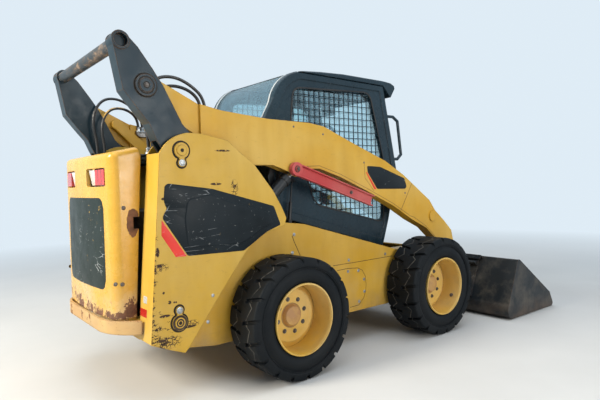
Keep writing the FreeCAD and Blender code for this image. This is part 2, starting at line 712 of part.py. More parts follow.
def oil_tubes():
    """Steel oil tubes clipped along the inner face of each arm, from the block where the hoses end."""
    solids = []
    y = ARM_INNER - STEEL_TUBE_RADIUS - 4.0
    for row in range(2):
        route = [V(x, y, z - row * OIL_TUBE_STEP) for x, z in OIL_TUBE_ROUTE]
        solids += [between(a, b, STEEL_TUBE_RADIUS) for a, b in zip(route, route[1:])]
        solids += [Part.makeSphere(STEEL_TUBE_RADIUS, p) for p in route[1:-1]]
    for (xa, za), (xb, zb) in zip(OIL_TUBE_ROUTE, OIL_TUBE_ROUTE[1:]):
        x = (xa + xb) / 2.0
        z = (za + zb) / 2.0
        slope = (zb - za) / (xb - xa)
        drop = slope * CLIP_WIDTH / 2.0
        solids.append(plate([(x - CLIP_WIDTH / 2.0, z - drop + 16), (x + CLIP_WIDTH / 2.0, z + drop + 16),
                             (x + CLIP_WIDTH / 2.0, z + drop - OIL_TUBE_STEP - 16),
                             (x - CLIP_WIDTH / 2.0, z - drop - OIL_TUBE_STEP - 16)],
                            y - STEEL_TUBE_RADIUS - 3, ARM_INNER))
    solids.append(plate(MANIFOLD, y - FITTING_RADIUS + 3, ARM_INNER))
    return pair(fused(solids))


# Front links

def front_link():
    fx, fz = FRONT_LINK_FRAME
    ax, az = FRONT_LINK_ARM
    high = ARM_INNER - FRONT_LINK_GAP
    low = high - FRONT_LINK_PLATE
    length = math.hypot(ax - fx, az - fz)
    ux = (ax - fx) / length
    uz = (az - fz) / length
    bar = plate([(fx - 45 * uz, fz + 45 * ux), (ax - 36 * uz, az + 36 * ux),
                 (ax + 36 * uz, az - 36 * ux), (fx + 45 * uz, fz - 45 * ux)], low, high)
    solid = fused([bar, across(fx, fz, 48, low, high), across(ax, az, 40, low, high)])
    return solid.cut(across(fx, fz, PIN_RADIUS + PIN_SLACK, low - 1, high + 1))


def front_links():
    return pair(front_link())


# Cylinders

def cylinder_pair(base, eye, y_mid, bore, rod, gland_gap, half_width, rod_start):
    """Barrel and rod solids of one cylinder; the barrel is hollow for the rod."""
    start = V(base[0], y_mid, base[1])
    stop = V(eye[0], y_mid, eye[1])
    step = stop.sub(start)
    length = step.Length
    along = V(step).normalize()
    gland = length - gland_gap
    tube = between(start.add(along * (EYE_RADIUS * 0.7)), start.add(along * gland), bore)
    collar = between(start.add(along * (gland - 42)), start.add(along * (gland + 0)), bore + 5)
    eye_base = across(base[0], base[1], EYE_RADIUS, y_mid - half_width, y_mid + half_width)
    barrel = fused([tube, collar, eye_base])
    hollow = between(start.add(along * (EYE_RADIUS + 12)), start.add(along * (gland + 5)), rod + 2 * SEAT)
    barrel = barrel.cut(hollow)
    barrel = barrel.cut(across(base[0], base[1], PIN_RADIUS + PIN_SLACK, y_mid - 99, y_mid + 99))
    shaft = between(start.add(along * rod_start), start.add(along * (length - 10)), rod)
    eye_rod = across(eye[0], eye[1], EYE_RADIUS - 4, y_mid - half_width, y_mid + half_width)
    return barrel, fused([shaft, eye_rod])


def lift_cylinders():
    barrel, rod = cylinder_pair(LIFT_BASE, LIFT_EYE, CHANNEL_MID,
                                LIFT_BORE_RADIUS, LIFT_ROD_RADIUS, 84.0, 27.0, 74.0)
    return pair(barrel), pair(rod)


def tilt_cylinders():
    barrel, rod = cylinder_pair(TILT_BASE, TILT_EYE, TILT_MID,
                                TILT_BORE_RADIUS, TILT_ROD_RADIUS, 116.0, 40.0, 140.0)
    return pair(barrel), pair(rod)


# Coupler and bucket

BACK_LOW = (FRONT - 61.0, 163.0)
BACK_HIGH = (FRONT + 92.0, 530.0)
COUPLER_PLATE = 16.0
COUPLER_LIP = 7.0
COUPLER_HALF = ARM_OUTER + EAR_GAP + EAR_PLATE + COUPLER_LIP
WINDOW_MARGIN = 114.0


def back_point(share, behind):
    """Point on the bucket's back line, at a share of its height, moved behind it."""
    dx = BACK_HIGH[0] - BACK_LOW[0]
    dz = BACK_HIGH[1] - BACK_LOW[1]
    length = math.hypot(dx, dz)
    x = BACK_LOW[0] + dx * share - behind * dz / length
    z = BACK_LOW[1] + dz * share + behind * dx / length
    return (x, z)


def coupler():
    """Quick coupler: leaning plate, a stiffening tube along its top and six ears for the pins."""
    t = COUPLER_PLATE
    skin = plate([back_point(0.0, 0.0), back_point(0.0, t), back_point(0.88, t), back_point(0.88, 0.0)],
                 -COUPLER_HALF, COUPLER_HALF)
    window = plate([back_point(0.25, -5.0), back_point(0.25, t + 5), back_point(0.62, t + 5),
                    back_point(0.62, -5.0)], WINDOW_MARGIN - TILT_EAR_IN, TILT_EAR_IN - WINDOW_MARGIN)
    skin = skin.cut(window)
    px, pz = BUCKET_PIVOT
    tx, tz = TILT_EYE
    root_low = back_point(0.0, t)
    root_high = back_point(0.8, t)
    long_ear = [(px - 48, pz), ("arc", (px, pz - 50), (px + 40, pz - 30)), root_low, root_high,
                (tx + 10, tz + 38), ("arc", (tx - 32, tz + 24), (tx - 36, tz - 14)), (px - 40, pz + 30)]
    short_ear = [(px - 48, pz), ("arc", (px, pz - 50), (px + 40, pz - 30)), root_low,
                 back_point(0.5, t), (px - 30, pz + 42)]
    pieces = [skin]
    ears = (
        # low, high, outline
        (TILT_EAR_IN, TILT_EAR_IN + EAR_PLATE, long_ear),
        (ARM_INNER - EAR_GAP - EAR_PLATE, ARM_INNER - EAR_GAP, long_ear),
        (ARM_OUTER + EAR_GAP, ARM_OUTER + EAR_GAP + EAR_PLATE, short_ear),
    )
    for low, high, shape in ears:
        ear = plate(shape, low, high)
        pieces += [ear, mirrored(ear)]
    for low, high, radius in ((ARM_INNER - EAR_GAP, ARM_OUTER + EAR_GAP, PIN_RADIUS),
                              (ARM_OUTER + EAR_GAP + EAR_PLATE, ARM_OUTER + EAR_GAP + EAR_PLATE + 10, 34),
                              (ARM_INNER - EAR_GAP - EAR_PLATE - 10, ARM_INNER - EAR_GAP - EAR_PLATE, 34)):
        pin = across(px, pz, radius, low, high)
        pieces += [pin, mirrored(pin)]
    cap = across(tx, tz, 30, TILT_EAR_IN - 8, TILT_EAR_IN)
    pieces += [cap, mirrored(cap)]
    bar = back_point(0.80, t + 18)
    pieces.append(across(bar[0], bar[1], 20, -COUPLER_HALF, -TILT_EYE_CLEAR))
    pieces.append(across(bar[0], bar[1], 20, TILT_EYE_CLEAR, COUPLER_HALF))
    pieces.append(across(bar[0], bar[1], 20, -TILT_EAR_IN, TILT_EAR_IN))
    return fused(pieces)


TILT_EYE_CLEAR = ARM_INNER - EAR_GAP


FLOOR_END = BUCKET_TIP - 66.0
BEND_START = BACK_LOW[0] + 49.0
HEEL = back_point(-0.05, 0.0)


def bucket():
    """Folded sheet, two end plates and a hook along the top of the back."""
    t = BUCKET_WALL
    hx, hz = BACK_HIGH
    bend = BEND_START
    sheet = plate([(FLOOR_END, EDGE_THICK), (bend, EDGE_THICK), ("arc", (bend - 64, 50), HEEL), (hx, hz),
                   (hx + 26, hz), (hx + 24, hz - 14), (hx + 9, hz - 16), (bend - 45, 139),
                   ("arc", (bend - 51, 57), (bend + 4, EDGE_THICK + t)), (FLOOR_END, EDGE_THICK + t)],
                  -BUCKET_HALF, BUCKET_HALF)
    tip = BUCKET_TIP - 22
    end = plate([(bend, EDGE_THICK), ("arc", (bend - 64, 50), HEEL), (hx, hz), (hx + 34, hz),
                 (tip - 60, 150), (tip, 40), (tip, EDGE_THICK + 10), (FLOOR_END, EDGE_THICK)],
                BUCKET_HALF - BUCKET_WALL, BUCKET_HALF)
    hook = plate([back_point(1.0, 0.0), back_point(1.0, 44.0), back_point(0.9, 44.0), back_point(0.9, 34.0),
                  back_point(0.96, 34.0), back_point(0.96, 0.0)], -COUPLER_HALF - 30, COUPLER_HALF + 30)
    return fused([sheet, end, mirrored(end), hook])


def cutting_edge():
    rear = FLOOR_END - 140
    return plate([(rear, 0), (BUCKET_TIP, 0), (BUCKET_TIP, 5), (FLOOR_END + 8, EDGE_THICK + BUCKET_WALL),
                  (FLOOR_END, EDGE_THICK + BUCKET_WALL), (FLOOR_END, EDGE_THICK), (rear, EDGE_THICK)],
                 -BUCKET_HALF + BUCKET_WALL, BUCKET_HALF - BUCKET_WALL)


# Cab

REAR_ARC = ((94.0, 1866.0), (190.0, 2034.0), (330.0, 2106.0))
CAB_SIDE = [
    REAR_ARC[2],
    ("arc", REAR_ARC[1], REAR_ARC[0]),
    (26, 1746),
    (40, 1480),
    (100, 1040),
    (261, 1000),
    (1225, 727),
    (1300, 940),
    (1419, 1365),
    (1262, 2090),
]
PANEL = [(370, 2052), ("arc", (252, 1996), (172, 1862)), (90, 1700), (100, 1480), (160, 1090), (261, 1060),
         (1205, 790), (1262, 960), (1366, 1365), (1222, 2040)]
PANEL_DEPTH = 7.0
WINDOW = [(290, 1985), (262, 1720), (478, 1112), (1245, 925), (1268, 1440), (1105, 2018)]
WINDOW_CORNER = 60.0
FLOOR_Z = 560.0
PANE_INSET = 4.0


def rounded_prism(points, radius, y_low, y_high):
    solid = plate(points, y_low, y_high)
    edges = [e for e in solid.Edges if abs(e.Vertexes[0].Y - e.Vertexes[1].Y) > 1]
    return solid.makeFillet(radius, edges)


def arc_point(share, inward):
    """Point of the cab's rear arc at a share of its sweep, moved towards the arc's centre."""
    a, b, c = (V(x, 0, z) for x, z in REAR_ARC)
    edge = Part.Arc(a, b, c).toShape()
    point = edge.valueAt(edge.FirstParameter + share * (edge.LastParameter - edge.FirstParameter))
    point = point.add(edge.Curve.Center.sub(point).normalize() * inward)
    return (point.x, point.z)


def cab_shell():
    """Hollow cab: two side walls with window openings in sunk panels, rear wall, rear sill and headers."""
    inner = CAB_HALF - CAB_WALL
    side = plate(CAB_SIDE, inner, CAB_HALF)
    border = [e for e in side.Edges if abs(e.CenterOfMass.y - CAB_HALF) < 1 and e.CenterOfMass.z > 1880
              and e.CenterOfMass.x < 1000]
    side = side.makeFillet(14, border)
    side = side.cut(plate(PANEL, CAB_HALF - PANEL_DEPTH, CAB_HALF + 5))
    side = side.cut(rounded_prism(WINDOW, WINDOW_CORNER, inner - 5, CAB_HALF + 5))
    rear_low = strip([(26, 1746), (40, 1480), (100, 1040)], 30, -inner, inner)
    header = strip([REAR_ARC[2], arc_point(0.8, 0.0)], 26, -inner, inner)
    front_header = box(1210, 1262, -inner, inner, 2030, 2090)
    return fused([side, mirrored(side), rear_low, header, front_header])


def cab_roof():
    """Crowned roof cap with a front overhang, seated on the walls."""
    half = CAB_HALF + 6
    cap = plate([(345, 2105.9), (1262, 2090.1), (1340, 2010), (1354, 1998), (1407, 2077), (1400, 2100),
                 (1356, 2119), (1242, 2132), (800, 2137), (560, 2128), (400, 2116)], -half, half)
    return cap.makeFillet(14, [e for e in cap.Edges if abs(abs(e.CenterOfMass.y) - half) < 1
                               and e.CenterOfMass.z > 2122 and e.Length > 200])


def cab_floor():
    """Foot well, seat box and its deck inside the frame tub."""
    half = CAB_HALF - CAB_WALL
    walls = [plate([(870, FLOOR_Z), (1560, FLOOR_Z), (1560, 684), (1225, 684), (870, 784)], s, s + 10)
             for s in (-half, half - 10)]
    floor = box(860, 1560, -half, half, FLOOR_Z - 10, FLOOR_Z)
    riser = box(860, 872, -half, half, FLOOR_Z, 900)
    deck = box(100, 872, -half, half, 900, 912)
    return fused(walls + [floor, riser, deck])


def cab_glass():
    """Side panes inside the mesh, and the curved rear pane."""
    inner = CAB_HALF - CAB_WALL
    side = rounded_prism(WINDOW, WINDOW_CORNER, inner, inner + GLASS)
    deep = PANE_INSET + GLASS
    foot = (REAR_ARC[0][0] - 63, REAR_ARC[0][1] - 117)
    top = 0.78
    rear = plate([foot, arc_point(0.0, PANE_INSET),
                  ("arc", arc_point(0.4, PANE_INSET), arc_point(top, PANE_INSET)), arc_point(top, deep),
                  ("arc", arc_point(0.4, deep), arc_point(0.0, deep)), (foot[0] + GLASS, foot[1] - 2)],
                 -inner, inner)
    return Part.makeCompound([side, mirrored(side), rear])


def cab_screens():
    """Welded wire screens in the side windows: level wires outside, upright wires behind them."""
    outer = CAB_HALF - 8.0
    clip = rounded_prism(WINDOW, WINDOW_CORNER, CAB_HALF - CAB_WALL, CAB_HALF)
    xs = [p[0] for p in WINDOW]
    zs = [p[1] for p in WINDOW]
    wires = []
    z = min(zs) + MESH_PITCH / 2.0
    while z < max(zs):
        wires.append(box(min(xs) - 5, max(xs) + 5, outer - MESH_WIRE, outer, z, z + MESH_WIRE))
        z += MESH_PITCH
    x = min(xs) + MESH_PITCH / 2.0
    while x < max(xs):
        wires.append(box(x, x + MESH_WIRE, outer - 2 * MESH_WIRE, outer - MESH_WIRE,
                         min(zs) - 5, max(zs) + 5))
        x += MESH_PITCH
    return pair(fused(wires).common(clip).Solids[0])


def seat():
    """Seat pan and back on a suspension box."""
    base = box(330, 720, -190, 190, 912, 1010)
    pan = box(310, 790, -235, 235, 1010, 1110)
    pan = pan.makeFillet(24, [e for e in pan.Edges if e.CenterOfMass.z > 1015])
    back = plate([(330, 1110), (420, 1110), (330, 1640), (250, 1640)], -220, 220)
    return fused([base, pan, back])


def controls():
    """Arm rests, two levers, the lap bar and pedals."""
    pieces = []
    for side in (-1, 1):
        y = side * 290.0
        post = box(430, 500, y - 28, y + 28, 912, 1200)
        rest = box(420, 860, y - 38, y + 38, 1200, 1245)
        lever = between(V(820, y, 1245), V(846, y, 1385), 10)
        knob = Part.makeSphere(27, V(850, y, 1400))
        pieces.append(fused([post, rest, lever, knob]))
    return Part.makeCompound(pieces)


HANDLE_Y = CAB_HALF - 28.0
HANDLE_ROUTE = [(1385, 1469), (1464, 1469), (1514, 1510), (1474, 1802), (1415, 1838), (1300, 1838)]


def grab_handles():
    """Bent tube handles on the front posts."""
    route = [V(x, HANDLE_Y, z) for x, z in HANDLE_ROUTE]
    parts = [between(a, b, 13) for a, b in zip(route, route[1:])]
    parts += [Part.makeSphere(13, p) for p in route[1:-1]]
    handle = fused(parts).cut(plate(CAB_SIDE, HANDLE_Y - 30, HANDLE_Y + 30))
    return pair(handle)


def work_lamps():
    """Front lamps under the roof overhang."""
    lamp = box(1290, 1345, 250, 390, 1930, 2000)
    stem = box(1300, 1320, 300, 340, 2000, 2080)
    return pair(fused([lamp, stem]).cut(cab_roof()))


STRUT_Y = CAB_HALF + 30.0
STRUT_FOOT = (184.0, 212.0, 1012.0)


def cab_struts():
    """Gas struts between the frame shelf and the cab sides, for the service tilt."""
    x_low, x_high, top = STRUT_FOOT
    fall = (SIDE_TOP[1][1] - SHELF_START[1]) / (SIDE_TOP[1][0] - SHELF_START[0])
    foot = plate([(x, SHELF_START[1] + (x - SHELF_START[0]) * fall) for x in (x_low, x_high)]
                 + [(x_high, top), (x_low, top)], STRUT_Y - 14, STRUT_Y + 14)
    strut = fused([foot, between(V(199, STRUT_Y, 1005), V(214, STRUT_Y, 1140), 13),
                   between(V(214, STRUT_Y, 1140), V(232, STRUT_Y, 1296), 6),
                   across(232, 1296, 14, CAB_HALF - PANEL_DEPTH, STRUT_Y + 12)])
    return pair(strut)


# Wheels

def lug(side, index, crown):
    """One slanted tread bar from the shoulder to past the middle of the tread, cut to the tyre's round."""
    half = TYRE_WIDTH / 2.0
    middle = -side * LUG_OVERLAP
    low = TREAD_RADIUS - 26.0
    reach = TYRE_RADIUS + 5
    corners = [V(-LUG_EDGE / 2.0, side * half, 0), V(LUG_EDGE / 2.0, side * half, 0),
               V(LUG_LEAN + LUG_MID / 2.0, middle, 0), V(LUG_LEAN - LUG_MID / 2.0, middle, 0)]
    tread = Part.Face(Part.makePolygon(corners + [corners[0]])).extrude(V(0, 0, -reach))
    section = [V(-reach, side * (half - 1.0), -RING_RADIUS + 10.0), V(-reach, side * (half - 8.0), -reach),
               V(-reach, middle, -reach), V(-reach, middle, -low), V(-reach, side * (half - 26.0), -low)]
    profile = Part.Face(Part.makePolygon(section + [section[0]])).extrude(V(2 * reach, 0, 0))
    bar = tread.common(profile).common(crown)
    step = 360.0 / LUG_COUNT
    angle = LUG_START + step * index + (step / 2.0 if side < 0 else 0.0)
    bar.rotate(V(0, 0, 0), V(0, 1, 0), angle)
    return bar


def ring_of_flats(profile, sides):
    """Solid ring with flat facets about Y through (radius, y) corners."""
    faces = []
    for index in range(len(profile)):
        ends = (profile[index - 1], profile[index])
        for k in range(sides):
            corners = []
            for (r, y), turn in ((ends[0], k), (ends[0], k + 1), (ends[1], k + 1), (ends[1], k)):
                angle = 2.0 * math.pi * turn / sides
                corners.append(V(r * math.sin(angle), y, r * math.cos(angle)))
            faces.append(Part.Face(Part.makePolygon(corners + [corners[0]])))
    solid = Part.Solid(Part.Shell(faces))
    if solid.Volume < 0:
        solid.reverse()
    return solid


def tyre():
    """Carcass with two staggered rows of bars fused to it."""
    half = TYRE_WIDTH / 2.0
    bead_y = half - BEAD_INSET
    bead = BEAD_RADIUS / math.cos(math.pi / TYRE_FLATS)
    profile = [(bead, -bead_y), (BEAD_RADIUS + 26, -half + 4), (RING_RADIUS, -half),
               (TREAD_RADIUS, -half + 18), (TREAD_RADIUS, half - 18), (RING_RADIUS, half),
               (BEAD_RADIUS + 26, half - 4), (bead, bead_y)]
    carcass = ring_of_flats(profile, TYRE_FLATS)
    crown = ring_of_flats([(TREAD_RADIUS - 60, -half), (TYRE_RADIUS, -half), (TYRE_RADIUS, half),
                           (TREAD_RADIUS - 60, half)], 2 * LUG_COUNT)
    lugs = [lug(side, index, crown) for side in (-1, 1) for index in range(LUG_COUNT)]
    return carcass.multiFuse(lugs).removeSplitter()


def rim():
    """Deep-dish rim with its disc, hub, shaft and cap, revolved about Y with the outside at +Y."""
    half = TYRE_WIDTH / 2.0
    outer = BEAD_RADIUS - SEAT
    bead_y = half - BEAD_INSET + SEAT
    disc = DISC_OFFSET
    face_y = disc + DISC_THICK
    inner_end = -half + 20
    hub_in = disc - 50 + HUB_GAP
    shaft_end = SIDE_OUTER + 30 - WHEEL_MIDDLE
    profile = [(0, shaft_end), (SHAFT_RADIUS, shaft_end), (SHAFT_RADIUS, hub_in), (HUB_RADIUS, hub_in),
               (HUB_RADIUS, disc), (165, disc), (outer - RIM_WALL - 6, disc - 30),
               (outer - RIM_WALL, inner_end),
               (outer, inner_end), (outer, bead_y), (outer + 8, bead_y + 7), (outer + 6, bead_y + 13),
               (outer - 4, bead_y + 13), (outer - RIM_WALL, bead_y - 2), (outer - RIM_WALL - 3, disc - 8),
               (175, face_y + 4), (150, face_y), (HUB_CAP_RADIUS + 6, face_y), (HUB_CAP_RADIUS, face_y + 14),
               (HUB_CAP_RADIUS - 8, face_y + 26), (0, face_y + 34)]
    points = [V(r, y, 0) for r, y in profile]
    return Part.Face(Part.makePolygon(points + [points[0]])).revolve(V(0, 0, 0), V(0, 1, 0), 360)


WHEELS = (
    # name, station, side
    ("front_left", WHEELBASE, 1),
    ("front_right", WHEELBASE, -1),
    ("rear_left", 0.0, 1),
    ("rear_right", 0.0, -1),
)


# Hoses

def tube_path(points):
    """Wire of straight runs joined by tangent arcs, each as large as its two runs allow."""
    edges = []
    start = points[0]
    radii = []
    for before, corner, after in zip(points, points[1:], points[2:]):
        into = corner.sub(before)
        out = after.sub(corner)
        a = V(into).normalize()
        b = V(out).normalize()
        turn = a.getAngle(b)
        reach = 0.45 * min(into.Length, out.Length)
        radii.append(reach / math.tan(turn / 2.0))
        first = corner.sub(a * reach)
        last = corner.add(b * reach)
        bisector = b.sub(a).normalize()
        middle = corner.add(bisector * (radii[-1] / math.cos(turn / 2.0) - radii[-1]))
        edges.append(Part.makeLine(start, first))
        edges.append(Part.Arc(first, middle, last).toShape())
        start = last
    edges.append(Part.makeLine(start, points[-1]))
    return Part.Wire(edges), radii


def hose(side, route):
    points = [V(x, side * (TOWER_INNER + y), z) for x, y, z in route]
    path, radii = tube_path(points)
    direction = points[1].sub(points[0])
    section = Part.Wire(Part.makeCircle(HOSE_RADIUS, points[0], direction))
    solid = path.makePipeShell([section], True, True)
    return solid, path.Length, min(radii)


def main():
    os.makedirs("parts", exist_ok=True)
    export("main_frame", main_frame())
    export("towers", towers())
    export("boom_stops", boom_stops())
    export("axle_housings", axle_housings())
    export("rear_bumper", rear_bumper())
    export("engine_block", engine_block())
    export("rear_door", rear_door())
    export("tail_lamps", tail_lamps())
    export("hood_frame", hood_frame())
    export("top_guard", top_guard())
    export("rear_links", rear_links())
    export("torque_tube", torque_tube())
    export("lift_arms", lift_arms())
    export("arm_legs", arm_legs())
    export("arm_member", arm_member())
    export("lock_brace", lock_brace())
    export("oil_tubes", oil_tubes())
    export("front_links", front_links())
    barrels, rods = lift_cylinders()
    export("lift_barrels", barrels)
    export("lift_rods", rods)
    barrels, rods = tilt_cylinders()
    export("tilt_barrels", barrels)
    export("tilt_rods", rods)
    export("coupler", coupler())
    export("bucket", bucket())
    export("cutting_edge", cutting_edge())
    export("cab_shell", cab_shell())
    export("cab_roof", cab_roof())
    export("cab_floor", cab_floor())
    export("cab_glass", cab_glass())
    export("cab_screens", cab_screens())
    export("seat", seat())
    export("controls", controls())
    export("grab_handles", grab_handles())
    export("work_lamps", work_lamps())
    export("cab_struts", cab_struts())
    tyre_solid = tyre()
    rim_solid = rim()
    for name, station, side in WHEELS:
        for kind, solid in (("tyre", tyre_solid), ("rim", rim_solid)):
            placed = solid if side > 0 else mirrored(solid)
            placed = placed.copy()
            placed.translate(V(station, side * WHEEL_MIDDLE, TYRE_RADIUS))
            export(kind + "_" + name, placed)
    for node, (side, route) in HOSES.items():
        solid, length, radius = hose(side, route)
        print(node, "length", round(length), "smallest radius", round(radius))
        export(node, solid)


main()
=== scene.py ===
import math

import bpy
import bmesh
import numpy as np
from mathutils import Matrix, Vector


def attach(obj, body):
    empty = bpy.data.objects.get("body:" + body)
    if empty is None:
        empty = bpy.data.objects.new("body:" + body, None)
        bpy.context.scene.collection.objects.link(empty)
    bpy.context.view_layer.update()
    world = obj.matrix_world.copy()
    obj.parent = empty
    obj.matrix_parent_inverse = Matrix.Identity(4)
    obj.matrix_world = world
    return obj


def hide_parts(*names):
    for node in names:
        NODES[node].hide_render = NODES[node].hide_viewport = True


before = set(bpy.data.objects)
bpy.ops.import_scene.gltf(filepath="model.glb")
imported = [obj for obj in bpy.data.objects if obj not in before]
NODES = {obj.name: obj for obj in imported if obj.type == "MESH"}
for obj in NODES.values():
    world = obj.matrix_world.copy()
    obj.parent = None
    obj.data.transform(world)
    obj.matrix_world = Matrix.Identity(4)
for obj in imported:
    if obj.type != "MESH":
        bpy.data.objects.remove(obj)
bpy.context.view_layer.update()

# The part's source counts X from the rear axle, in millimetres; at() turns such a place into the row frame.
ORIGIN_X = 969.0


def at(x, y, z):
    return Vector(((x - ORIGIN_X) / 1000.0, y / 1000.0, z / 1000.0))


# Sizes repeated from the part's source, in millimetres

TOWER_OUTER = 667.0
ARM_OUTER = 625.0
SIDE_OUTER = 560.0
CAB_HALF = 440.0
WHEELBASE = 1486.0
WHEEL_MIDDLE = 732.0
TYRE_RADIUS = 398.0
TYRE_WIDTH = 300.0
DOOR_REAR = -1108.0
DOOR_BOW = 38.0
DOOR_HALF = 470.0
LINK_OUT = 627.0
ARM_PIVOT = (-912.0, 1847.0)
LINK_BODY = "rear_link"
PIN_HEAD = 14.0
BRACE_HEAD = (130.0, 1374.0)
BRACE_ANGLE = -18.4
BRACE_FACE = 634.2


# Camera

YAW = math.radians(38.66)
PITCH = math.radians(1.836)
ROLL = math.radians(-1.438)


def add_camera():
    forward = Vector((math.sin(YAW) * math.cos(PITCH), math.cos(YAW) * math.cos(PITCH), -math.sin(PITCH)))
    right = Vector((math.cos(YAW), -math.sin(YAW), 0.0))
    up = right.cross(forward)
    turned_right = math.cos(ROLL) * right + math.sin(ROLL) * up
    turned_up = -math.sin(ROLL) * right + math.cos(ROLL) * up
    data = bpy.data.cameras.new("camera")
    data.sensor_width = 36.0
    data.lens = 30.64
    data.clip_start = 0.05
    data.clip_end = 200.0
    camera = bpy.data.objects.new("camera", data)
    rotation = Matrix((turned_right, turned_up, -forward)).transposed()
    camera.matrix_world = Matrix.Translation((-3.020, -3.412, 1.273)) @ rotation.to_4x4()
    bpy.context.scene.collection.objects.link(camera)
    bpy.context.scene.camera = camera


add_camera()


# Materials

class Shader:
    """Short calls for the nodes of one material."""

    def __init__(self, name):
        self.material = bpy.data.materials.new(name)
        self.material.use_nodes = True
        self.tree = self.material.node_tree
        self.tree.nodes.clear()
        self.place = self.new("TexCoord").outputs["Object"]

    def new(self, kind, values=None, **settings):
        made = self.tree.nodes.new("ShaderNode" + kind)
        for key, value in settings.items():
            setattr(made, key, value)
        for socket, value in (values or {}).items():
            if isinstance(value, bpy.types.NodeSocket):
                self.tree.links.new(value, made.inputs[socket])
            else:
                made.inputs[socket].default_value = value
        return made

    def noise(self, scale, detail=3.0, roughness=0.55, vector=None, stretch=None):
        vector = vector or self.place
        if stretch:
            vector = self.new("Mapping", {"Vector": vector, "Scale": stretch}).outputs["Vector"]
        made = self.new("TexNoise", {"Vector": vector, "Scale": scale, "Detail": detail, "Roughness": roughness})
        return made.outputs["Fac"]

    def span(self, value, low, high, to_low=0.0, to_high=1.0):
        made = self.new("MapRange", {"Value": value, "From Min": low, "From Max": high,
                                     "To Min": to_low, "To Max": to_high}, clamp=True)
        return made.outputs["Result"]

    def maths(self, operation, a, b=0.0):
        return self.new("Math", {0: a, 1: b}, operation=operation).outputs[0]

    def both(self, *masks):
        whole = masks[0]
        for mask in masks[1:]:
            whole = self.maths("MULTIPLY", whole, mask)
        return whole

    def either(self, *masks):
        whole = masks[0]
        for mask in masks[1:]:
            whole = self.maths("MAXIMUM", whole, mask)
        return whole

    def mix(self, factor, a, b):
        made = self.new("Mix", None, data_type="RGBA")
        for socket, value in ((made.inputs[0], factor), (made.inputs[6], a), (made.inputs[7], b)):
            if isinstance(value, bpy.types.NodeSocket):
                self.tree.links.new(value, socket)
            elif isinstance(value, float):
                socket.default_value = value
            else:
                socket.default_value = (*value, 1.0)
        return made.outputs[2]

    def axis(self, letter, vector=None):
        return self.new("SeparateXYZ", {"Vector": vector or self.place}).outputs[letter]

    def facing(self, letter):
        """The chosen part of the surface's own normal."""
        return self.axis(letter, self.new("NewGeometry").outputs["Normal"])

    def near(self, centre, reach, soft, stretch=(1.0, 1.0, 1.0)):
        """1 within reach of a place given in millimetres, falling to 0 over soft; both in metres."""
        place = at(*centre)
        offset = self.new("VectorMath", {0: self.place, 1: tuple(place)}, operation="SUBTRACT").outputs[0]
        scaled = self.new("VectorMath", {0: offset, 1: stretch}, operation="MULTIPLY").outputs[0]
        length = self.new("VectorMath", {0: scaled}, operation="LENGTH").outputs["Value"]
        return self.span(length, reach + soft, reach)

    def rounded(self, radius):
        return self.new("Bevel", {"Radius": radius}, samples=4).outputs["Normal"]

    def edges(self, rounded):
        """1 on the edges of the mesh, 0 on its faces."""
        flat = self.new("NewGeometry").outputs["Normal"]
        dot = self.new("VectorMath", {0: rounded, 1: flat}, operation="DOT_PRODUCT").outputs["Value"]
        return self.span(dot, 0.985, 0.9)

    def bump(self, height, strength=0.3, distance=0.002, normal=None):
        values = {"Height": height, "Strength": strength, "Distance": distance}
        if normal:
            values["Normal"] = normal
        return self.new("Bump", values).outputs["Normal"]

    def finish(self, **values):
        made = self.new("BsdfPrincipled")
        for key, value in values.items():
            socket = made.inputs[key.replace("_", " ").title().replace("Ior", "IOR")]
            if isinstance(value, bpy.types.NodeSocket):
                self.tree.links.new(value, socket)
            elif isinstance(value, tuple):
                socket.default_value = (*value, 1.0)
            else:
                socket.default_value = value
        out = self.new("OutputMaterial")
        self.tree.links.new(made.outputs[0], out.inputs["Surface"])
        return self.material


RUST = (0.075, 0.030, 0.014)
LIGHT_RUST = (0.20, 0.085, 0.035)
DUST = (0.33, 0.27, 0.20)


BACKDROP = (0.74, 0.84, 0.92)


def cracks(s, scale=50.0, width=0.11):
    """Thin wandering lines, where paint has lifted along scratches."""
    wander = s.new("TexNoise", {"Vector": s.place, "Scale": 30.0}).outputs["Color"]
    bent = s.new("VectorMath", {0: wander, 1: (0.03, 0.03, 0.03), 2: s.place}, operation="MULTIPLY_ADD").outputs[0]
    lines = s.new("TexVoronoi", {"Vector": bent, "Scale": scale}, feature="DISTANCE_TO_EDGE").outputs["Distance"]
    return s.span(lines, width, width * 0.55)


def tower_chips(s):
    """Scraped rear edge and low corner of the towers; the edge leans by 0.0786."""
    rear = s.maths("SUBTRACT", s.axis("X"), s.maths("MULTIPLY", s.axis("Z"), 0.0786))
    edge = at(-977.3, 0, 0).x
    corner = s.both(s.span(rear, edge + 0.19, edge + 0.02), s.span(s.axis("Z"), 0.60, 0.40))
    rim = s.both(s.span(rear, edge + 0.030, edge + 0.004), s.span(s.axis("Z"), 1.05, 0.75))
    place = s.both(s.either(corner, rim), s.span(s.maths("ABSOLUTE", s.facing("Y")), 0.4, 0.7))
    field = s.maths("ADD", s.noise(26.0, 6.0, 0.75, stretch=(1.0, 1.0, 1.7)), s.maths("MULTIPLY", place, 0.15))
    return s.both(s.span(field, 0.635, 0.65), s.span(place, 0.02, 0.12))


